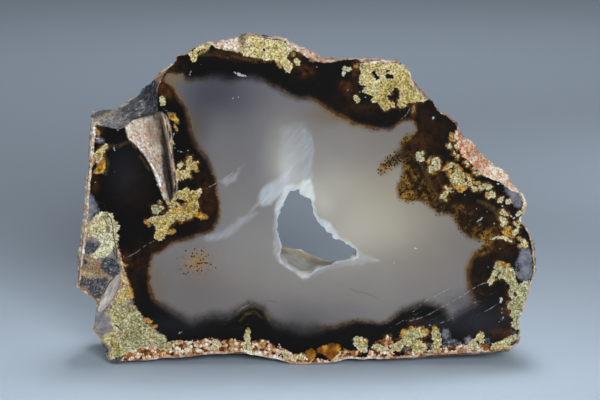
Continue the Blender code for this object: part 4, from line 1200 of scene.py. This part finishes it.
def milk_colour(nodes):
    """The milky middle: bluish, grey and warm parts, and its white lining by the cavity."""
    cloud = nodes.times(nodes.add(nodes.noise(9 * MM, 3), -0.5), 0.12)
    # The tone layer is partly the milk's own lighter and darker parts and partly painted glow of light through it.
    level = nodes.add(nodes.add(nodes.layer("tone"), cloud), 0.5)
    milk = nodes.ramp(nodes.times(level, 0.5), [
        (0.0, tone(66, 67, 75)), (0.25, tone(108, 107, 110)), (0.4, tone(138, 137, 134)),
        (0.55, tone(168, 168, 162)), (0.75, tone(196, 198, 196)),
    ])
    warm = nodes.layer("warm")
    milk = nodes.mix(nodes.sum("MINIMUM", nodes.times(warm, 0.55), 0.8), milk, nodes.mix(
        nodes.step(level, 0.4, 1.3), tone(112, 98, 78), tone(190, 180, 150)))
    veil = nodes.layer("veil")
    wisps = nodes.step(nodes.noise(0.6 * MM, 3, 0.5, nodes.stretched(VEIL_TURN, 5.0)), 0.34, 0.66)
    streak = nodes.add(nodes.times(wisps, 0.24), 0.82)
    white = nodes.mix(nodes.layer("blue"), tone(208, 212, 208), tone(152, 164, 186))
    white = nodes.mix(nodes.times(wisps, 0.3), white, tone(218, 222, 224))
    milk = nodes.mix(nodes.sum("MINIMUM", nodes.times(veil, streak), 0.95), milk, white)
    scratch = nodes.step(nodes.sum("ABSOLUTE", nodes.layer("scratch")), 0.9, 0.2)
    return nodes.mix(nodes.times(scratch, 0.3), milk, tone(66, 64, 64))


def agate_colour(nodes, wave, ripple):
    """The milk, its amber border and the dark agate round it, with its rings and its moss."""
    rim = nodes.add(nodes.layer("rim"), nodes.add(nodes.times(wave, 6.0), nodes.times(ripple, 2.5)))
    soft = nodes.times(nodes.layer("soft"), 0.85)
    dark = nodes.step(rim, nodes.times(soft, -1.0), soft)
    clear = nodes.add(nodes.times(dark, -1.0), 1.0)
    depth = nodes.add(nodes.times(nodes.times(clear, clear), -1.0), 1.0)

    grime = nodes.noise(1.3 * MM, 4, 0.65)
    browning = nodes.sum("MINIMUM", nodes.layer("brown"), 1.0)
    shade = nodes.mix(nodes.times(browning, nodes.step(grime, 0.3, 0.65)), tone(11, 9, 7), tone(74, 42, 13))
    shade = nodes.mix(nodes.times(nodes.step(grime, 0.6, 0.8), 0.25), shade, tone(44, 34, 22))
    # Painted reflection: a faint bluish sheen laid over the dark agate.
    shade = nodes.mix(nodes.layer("painted_sheen"), shade, tone(66, 70, 80))
    ring = nodes.step(nodes.add(nodes.layer("ring"), nodes.add(nodes.times(ripple, 3.0), nodes.times(wave, 3.0))), 1.6, -1.6)
    broken = nodes.add(nodes.times(nodes.step(nodes.noise(0.5 * MM, 3), 0.38, 0.62), 0.5), 0.1)
    shade = nodes.mix(nodes.times(ring, broken), shade, tone(92, 76, 38))
    colour = nodes.mix(depth, milk_colour(nodes), shade)
    border = nodes.ramp(dark, [
        (0.15, tone(128, 108, 78)), (0.45, tone(84, 55, 22)), (0.75, tone(38, 24, 11)), (1.0, tone(12, 9, 7)),
    ])
    weight = nodes.times(nodes.step(dark, 0.02, 0.3), nodes.step(dark, 1.0, 0.8))
    colour = nodes.mix(nodes.times(nodes.times(weight, nodes.layer("amber")), 0.9), colour, border)

    haze = nodes.layer("haze")
    depths = nodes.add(nodes.noise(1.4 * MM, 4, 0.6), nodes.times(nodes.layer("gloom"), -0.2))
    murk = nodes.ramp(depths, [
        (0.34, tone(32, 20, 7)), (0.46, tone(88, 60, 19)), (0.6, tone(148, 112, 46)),
    ])
    colour = nodes.mix(nodes.times(haze, 0.85), colour, murk)
    gap, pick, other = nodes.cells(0.46 * MM)
    chosen = nodes.step(nodes.add(pick, nodes.times(haze, 1.1)), 1.0, 1.08)
    speck = nodes.times(nodes.step(gap, 0.50, 0.32), chosen)
    return nodes.mix(nodes.times(speck, 0.92), colour, tone(16, 11, 7))


def pattern(nodes):
    """The agate's own pattern, from the mesh's layers: (colour, how rough it looks)."""
    wave = nodes.add(nodes.noise(2.2 * MM, 3), -0.5)
    ripple = nodes.add(nodes.noise(0.5 * MM, 3), -0.5)
    lobes = nodes.times(nodes.add(nodes.cells(0.45 * MM)[0], -0.4), 2.4)
    ragged = nodes.add(nodes.times(ripple, 2.0), lobes)
    colour = agate_colour(nodes, wave, ripple)

    def cover(name, reach=0.0, blur=0.5):
        value = nodes.add(nodes.add(nodes.layer(name), ragged), -reach)
        return nodes.step(value, blur, -blur)

    matrix = cover("matrix", 0.0, 1.0)
    colour = nodes.mix(matrix, colour, matrix_colour(nodes))
    colour = nodes.mix(nodes.times(cover("bluish", 0.0, 2.2), 0.85), colour, nodes.ramp(
        nodes.noise(1.2 * MM, 4, 0.65), [
            (0.36, tone(84, 87, 98)), (0.48, tone(112, 114, 124)), (0.58, tone(126, 126, 134)), (0.7, tone(156, 147, 138))]))
    colour = nodes.mix(nodes.times(cover("tan_rock", 0.5, 1.5), 0.9), colour, tan_colour(nodes))
    rock = cover("grey", 0.3, 1.0)
    colour = nodes.mix(nodes.times(rock, 0.95), colour, rock_colour(nodes, 1.2, 0.26 * MM))
    gravel = cover("gravel")
    colour = nodes.mix(gravel, colour, gravel_colour(nodes))
    crystal = cover("crystal", 0.0, 0.8)
    colour = nodes.mix(crystal, colour, nodes.ramp(nodes.noise(2.4 * MM, 2), [
        (0.35, tone(66, 34, 10)), (0.5, tone(128, 78, 22)), (0.62, tone(178, 134, 48))]))

    halo = nodes.times(cover("grain", 2.0, 1.6), nodes.layer("halo"))
    colour = nodes.mix(nodes.times(halo, 0.8), colour, nodes.ramp(
        nodes.noise(0.9 * MM, 3), [(0.36, tone(44, 25, 8)), (0.5, tone(112, 70, 18)), (0.62, tone(178, 122, 34))]))
    grains = cover("grain")
    gold = cover("gold", -0.1, 1.4)
    both = nodes.sum("MAXIMUM", grains, nodes.times(gold, 0.92))
    colour = nodes.mix(both, colour, grain_colour(nodes, gold))

    colour = nodes.mix(nodes.step(nodes.add(nodes.layer("band"), nodes.times(ripple, 1.5)), 0.6, -0.6),
                       colour, band_colour(nodes))
    seam = nodes.step(nodes.add(nodes.layer("seam"), nodes.times(ragged, 1.0)), 0.1, -0.9)
    grit = nodes.add(nodes.times(nodes.step(nodes.noise(0.6 * MM, 3), 0.36, 0.52), 0.7), 0.25)
    colour = nodes.mix(nodes.times(seam, grit), colour, seam_colour(nodes))
    furrow = nodes.step(nodes.add(nodes.sum("ABSOLUTE", nodes.layer("furrow")), nodes.times(ripple, 0.8)), 0.8, 0.3)
    colour = nodes.mix(nodes.times(furrow, 0.85), colour, tone(34, 20, 12))
    edge = nodes.add(nodes.layer("edge"), nodes.add(nodes.times(ripple, 2.4), nodes.times(lobes, 0.5)))
    crust = nodes.step(nodes.add(edge, nodes.times(nodes.layer("crust"), -1.0)), 0.4, -0.4)
    colour = nodes.mix(crust, colour, crust_colour(nodes))
    salmon = cover("salmon", 0.0, 0.8)
    colour = nodes.mix(salmon, colour, pink_colour(nodes))
    crust = nodes.sum("MAXIMUM", crust, salmon)
    colour = nodes.mix(nodes.layer("fissure"), colour, fissure_colour(nodes))
    # White bits, and a few painted highlights among them.
    bits = nodes.step(nodes.add(nodes.layer("white"), nodes.times(ragged, 0.6)), 0.4, -0.4)
    colour = nodes.mix(nodes.times(bits, 0.75), colour, tone(190, 194, 198))
    crack = nodes.step(nodes.add(nodes.sum("ABSOLUTE", nodes.layer("crack")), nodes.times(ripple, 1.4)), 0.5, 0.05)
    broken = nodes.step(nodes.noise(0.7 * MM, 2), 0.4, 0.6)
    colour = nodes.mix(nodes.times(nodes.times(crack, broken), 0.5), colour, tone(170, 172, 176))
    rough = nodes.sum("MAXIMUM", nodes.sum("MAXIMUM", grains, matrix), nodes.sum("MAXIMUM", crust, gravel))
    return colour, rough


def polished_material():
    """The polished face: glossy agate, with a duller crust and grains."""
    nodes = Nodes("polished_agate")
    colour, rough = pattern(nodes)
    nodes.put(nodes.surface.inputs["Base Color"], colour)
    nodes.put(nodes.surface.inputs["Roughness"], nodes.add(nodes.times(rough, 0.35), 0.14))
    nodes.surface.inputs["IOR"].default_value = 1.54
    nodes.surface.inputs["Specular IOR Level"].default_value = 0.08
    nodes.bump(nodes.times(nodes.times(nodes.cells(0.5 * MM)[0], -1.0), rough), 0.05 * MM, 0.6)
    return nodes.material


def sawn_material():
    """The back: the same pattern, sawn and left dull."""
    nodes = Nodes("sawn_agate")
    colour, _ = pattern(nodes)
    dust = nodes.mix(nodes.add(nodes.times(nodes.noise(1.2 * MM, 4), 0.16), 0.14), colour, tone(176, 172, 166))
    nodes.put(nodes.surface.inputs["Base Color"], dust)
    nodes.surface.inputs["Roughness"].default_value = 0.6
    nodes.surface.inputs["IOR"].default_value = 1.54
    nodes.bump(nodes.noise(0.4 * MM, 4), 0.05 * MM, 0.5)
    return nodes.material


def rough_material():
    """The natural rim: rind, broken grey rock and the fissure's grains."""
    nodes = Nodes("natural_rind")
    colour = crust_colour(nodes)
    patch = nodes.noise(7 * MM, 4, 0.6)
    colour = nodes.mix(nodes.step(patch, 0.6, 0.68), colour, rock_colour(nodes))
    colour = nodes.mix(nodes.step(patch, 0.36, 0.30), colour, gravel_colour(nodes))
    colour = nodes.mix(nodes.step(nodes.layer("grain"), 1.5, -0.5), colour, grain_colour(nodes, 0.1))
    shadow = nodes.sum("MULTIPLY_ADD", nodes.layer("crust_pale"), -0.3, 0.42)
    colour = nodes.mix(shadow, colour, tone(0, 0, 0))
    colour = nodes.mix(nodes.layer("pink"), colour, nodes.mix(0.34, pink_colour(nodes), tone(0, 0, 0)))
    margin = nodes.add(nodes.sum("ABSOLUTE", nodes.layer("ledge")), nodes.times(nodes.noise(1.2 * MM, 3), 5.0))
    ledge = nodes.step(margin, 4.6, 3.2)
    stone = nodes.mix(nodes.times(nodes.layer("chip_pale"), 0.3), rock_colour(nodes, 2.2), tone(156, 152, 148))
    dashes = nodes.step(nodes.noise(0.46 * MM, 4, 0.7, nodes.stretched(ROCK_GRAIN, 2.4)), 0.52, 0.57)
    stone = nodes.mix(nodes.times(dashes, 0.75), stone, tone(18, 18, 20))
    stone = nodes.mix(nodes.times(ledge, 0.75), stone, tan_colour(nodes))
    colour = nodes.mix(nodes.layer("chip"), colour, stone)
    colour = nodes.mix(nodes.layer("fissure"), colour, fissure_colour(nodes))
    nodes.put(nodes.surface.inputs["Base Color"], colour)
    nodes.surface.inputs["Roughness"].default_value = 0.75
    nodes.bump(nodes.noise(0.3 * MM, 4, 0.65), 0.12 * MM, 0.7)
    return nodes.material


def lining_material():
    """The cavity: smooth bluish-white chalcedony."""
    nodes = Nodes("cavity_lining")
    colour = nodes.ramp(nodes.noise(3 * MM, 3), [
        (0.35, tone(170, 168, 160)), (0.5, tone(190, 188, 181)), (0.65, tone(206, 207, 204)),
    ])
    colour = nodes.mix(nodes.times(nodes.layer("tan"), 0.85), colour, tone(148, 134, 102))
    nodes.put(nodes.surface.inputs["Base Color"], colour)
    nodes.surface.inputs["Roughness"].default_value = 0.35
    nodes.surface.inputs["IOR"].default_value = 1.54
    nodes.bump(nodes.noise(0.35 * MM, 3), 0.06 * MM, 0.5)
    return nodes.material


def set_layer(mesh, name, values):
    """Stores one value for each of the mesh's points."""
    layer = mesh.attributes.new(name, "FLOAT", "POINT")
    layer.data.foreach_set("value", np.ascontiguousarray(values, dtype=np.float32))


def set_layers(mesh, places, flat, rim_edges):
    """Works out the pattern's layers at every point."""
    seen = pixels(places)
    at = seen.copy()
    behind = places[:, 1] > 0
    # The pattern runs through the stone, and has shifted by the time it reaches the back.
    shift = np.array([noise.noise_vector(Vector(place) / (14 * MM)) for place in places[behind]])
    deep = np.stack([
        ORIGIN_COLUMN + places[behind, 0] / PIXEL * 1.06 + 14 * shift[:, 0],
        366 - places[behind, 2] / PIXEL * 1.03 + 14 * shift[:, 2],
    ], axis=1)
    at[behind] = deep

    def shapes(outlines=(), strokes=()):
        distance = stroke_distance(at, strokes)
        for outline in outlines:
            distance = np.minimum(distance, outline_distance(at, outline))
        return distance

    soft, amber = blended(at, FRINGE)
    set_layer(mesh, "rim", outline_distance(at, MILK, 60))
    set_layer(mesh, "soft", soft)
    set_layer(mesh, "amber", amber)
    # The milk's tone, partly painted glow of light through the milk.
    set_layer(mesh, "tone", spots_field(at, MILK_TONE_AND_GLOW))
    set_layer(mesh, "warm", spots_field(at, WARMTH))
    set_layer(mesh, "brown", spots_field(at, BROWN))
    # Painted sheen on the dark agate.
    set_layer(mesh, "painted_sheen", spots_field(at, PAINTED_SHEEN))
    haze = 1 - smoothstep((stroke_distance(at, MOSS) + 3) / 8)
    set_layer(mesh, "haze", np.maximum(haze, spots_field(at, MOSS_SPOTS)))
    set_layer(mesh, "gloom", spots_field(at, GLOOM))
    set_layer(mesh, "ring", shapes((), RINGS))
    grains = np.maximum(shapes(GRAIN_OUTLINES, GRAIN_STROKES), -stroke_distance(at, GAPS))
    set_layer(mesh, "grain", grains)
    grain_warm, grain_light = blended(at, GRAIN_KINDS)
    set_layer(mesh, "grain_warm", grain_warm)
    set_layer(mesh, "grain_light", grain_light)
    set_layer(mesh, "halo", np.minimum(spots_field(at, HALOS), 1))
    set_layer(mesh, "gold", shapes((), GOLD))
    set_layer(mesh, "crystal", shapes(AMBER_CRYSTALS))
    set_layer(mesh, "gravel", shapes(GRAVEL))
    set_layer(mesh, "matrix", shapes([ROCK_CORNER]))
    set_layer(mesh, "grey", shapes(GREY))
    set_layer(mesh, "tan_rock", shapes(TAN))
    set_layer(mesh, "bluish", shapes(BLUISH))
    set_layer(mesh, "salmon", shapes([PINK_FACE]))
    set_layer(mesh, "band", shapes((), BAND))
    set_layer(mesh, "seam", shapes((), SEAMS))
    set_layer(mesh, "furrow", line_offset(at, FURROWS))
    set_layer(mesh, "white", shapes((), WHITE_BITS_AND_HIGHLIGHTS))
    set_layer(mesh, "crack", line_offset(at, CRACKS))
    set_layer(mesh, "scratch", line_offset(at, SCRATCHES))
    veil, blue = np.zeros(len(at)), np.zeros(len(at))
    waver = np.array([noise.noise_vector(Vector(place) / (1.4 * MM)) for place in places])
    wavy = at + 1.6 * waver[:, [0, 2]]
    for whiteness, blueness, softness, outline in VEILS:
        share = 1 - smoothstep((outline_distance(wavy, outline) + softness) / (2 * softness))
        blue = blue * (1 - share) + blueness * share
        veil = veil * (1 - share) + np.maximum(veil, whiteness) * share
    shore = 1 - smoothstep(outline_distance(at, CAVITY_EDGE) / 3.0)
    blue = np.maximum(blue, 0.5 * shore)
    veil = np.maximum(veil, 0.85 * shore)
    set_layer(mesh, "veil", veil)
    set_layer(mesh, "blue", blue)
    # Further back on the walls, the patches' edges wander.
    inward = (places[:, 1] - FRONT_Y) / MM
    wander = np.array([noise.noise_vector(Vector(place) / (4 * MM)) for place in places])
    drifted = seen + 9 * wander[:, [0, 2]] * smoothstep((inward - 1) / 6)[:, None]
    width, paleness = blended(drifted, CRUST)
    set_layer(mesh, "crust", width)
    set_layer(mesh, "crust_pale", paleness)
    rim = sorted({number for edge in rim_edges for number in edge})
    bare = np.full(len(places), FAR)
    for outline in (GREY_CHIP, FISSURE_LEFT, FISSURE_RIGHT, TROUGH_AREA):
        bare = np.minimum(bare, outline_distance(seen, outline))
    rim = [number for number in rim if not in_cavity(*flat[number]) and bare[number] > 2]
    tree = kdtree.KDTree(len(rim))
    for number in rim:
        tree.insert((flat[number][0], flat[number][1], 0), number)
    tree.balance()
    edge = np.full(len(places), 50.0)
    for number in np.nonzero(places[:, 1] < FRONT_Y + SAME)[0]:
        edge[number] = tree.find((places[number, 0], places[number, 2], 0))[2] / PIXEL
    set_layer(mesh, "edge", edge)
    shallow = 1 - smoothstep((inward - 7.5 + 4 * wander[:, 1]) / 3)

    def patch(outline, blur=1.5, at=seen):
        return (1 - smoothstep((outline_distance(at, outline) + blur) / (2 * blur))) * shallow

    set_layer(mesh, "chip", patch(GREY_CHIP, 2.0))
    set_layer(mesh, "chip_pale", patch(CHIP_PALE, 4.0))
    set_layer(mesh, "ledge", line_offset(seen, [CHIP_LEDGE]))
    set_layer(mesh, "pink", np.maximum(patch(PINK_CRUST, 2.5, drifted), 0.75 * patch(TOP_CRUST, 3.0, drifted)))
    lip = patch(FISSURE_LIP, 0.8)
    # The fissure's painted dark crevice.
    deep = patch(FISSURE_CREVICE_SHADE, 1.0)
    fissure = np.maximum(patch(FISSURE_LEFT, 0.8), np.maximum(lip, deep))
    set_layer(mesh, "fissure", fissure)
    set_layer(mesh, "shade", patch(FISSURE_SHADE, 2.5))
    set_layer(mesh, "lip", lip)
    set_layer(mesh, "deep", deep)
    set_layer(mesh, "tan", 1 - smoothstep((outline_distance(seen, CAVITY_TAN) + 1.5) / 3))


def make_stage():
    """A pale sweep, the soft lights over it and the camera."""
    shape = bmesh.new()
    profile = [Vector((0, -1.2, 0)), Vector((0, 1.6, 0))]
    profile += [Vector((0, 1.6 + 0.4 * math.sin(a), 0.4 - 0.4 * math.cos(a))) for a in np.linspace(0.2, math.pi / 2, 8)]
    profile.append(Vector((0, 2.0, 1.6)))
    rows = [[shape.verts.new(place + Vector((side, 0, 0))) for place in profile] for side in (-2, 2)]
    for left, right, next_right, next_left in zip(rows[0], rows[1], rows[1][1:], rows[0][1:]):
        shape.faces.new((left, right, next_right, next_left))
    mesh = bpy.data.meshes.new("sweep")
    shape.to_mesh(mesh)
    shape.free()
    sweep = bpy.data.objects.new("sweep", mesh)
    bpy.context.scene.collection.objects.link(sweep)
    mesh.shade_smooth()
    nodes = Nodes("sweep_paper")
    nodes.surface.inputs["Base Color"].default_value = (0.393, 0.485, 0.593, 1)
    nodes.surface.inputs["Roughness"].default_value = 0.7
    mesh.materials.append(nodes.material)

    def softbox(name, place, target, size, power, spread=180):
        light = bpy.data.lights.new(name, "AREA")
        light.shape = "RECTANGLE"
        light.size, light.size_y = size
        light.energy = power
        light.spread = math.radians(spread)
        lamp = bpy.data.objects.new(name, light)
        lamp.location = place
        lamp.rotation_euler = (Vector(target) - Vector(place)).to_track_quat("-Z", "Y").to_euler()
        bpy.context.scene.collection.objects.link(lamp)

    softbox("overhead", (0.04, 0.05, 0.36), (0.01, -0.05, 0), (0.14, 0.14), 0.092, 50)
    softbox("left", (-0.24, -0.12, 0.3), (-0.14, -0.08, 0), (0.12, 0.12), 0.03, 70)
    softbox("front", (0.30, -1.45, 0.56), (0, 0, 0.03), (0.45, 0.45), 20.6)
    softbox("backdrop", (0.03, 0.55, 0.45), (0.03, 0.55, 0), (0.3, 0.3), 0.16, 100)
    softbox("side", (0.19, 0.22, 0.26), (0.16, 0.2, 0), (0.08, 0.08), 0.036, 70)

    world = bpy.data.worlds.new("studio")
    world.use_nodes = True
    world.node_tree.nodes["Background"].inputs["Color"].default_value = (0.985, 0.93, 0.89, 1)
    world.node_tree.nodes["Background"].inputs["Strength"].default_value = 0.225
    bpy.context.scene.world = world

    camera = bpy.data.cameras.new("camera")
    camera.sensor_width = 36
    camera.lens = camera.sensor_width * VIEW_DISTANCE / (PHOTO_SIZE[0] * PIXEL)
    camera.clip_start = 0.01
    viewer = bpy.data.objects.new("camera", camera)
    viewer.location = CAMERA_PLACE
    viewer.rotation_euler = (math.pi / 2 - VIEW_TILT, 0, 0)
    bpy.context.scene.collection.objects.link(viewer)
    bpy.context.scene.camera = viewer
    bpy.context.scene.view_settings.view_transform = "Standard"


def main():
    noise.seed_set(NOISE_SEED)
    make_stage()
    mesh, places, flat, rim_edges = make_slice()
    set_layers(mesh, places, flat, rim_edges)
    for material in (polished_material(), rough_material(), lining_material(), sawn_material()):
        mesh.materials.append(material)
    stone = bpy.data.objects.new("agate_stone", mesh)
    bpy.context.scene.collection.objects.link(stone)
    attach(stone, "root")
    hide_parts("agate")
    print("triangles", len(mesh.polygons), np.bincount([face.material_index for face in mesh.polygons]))


main()
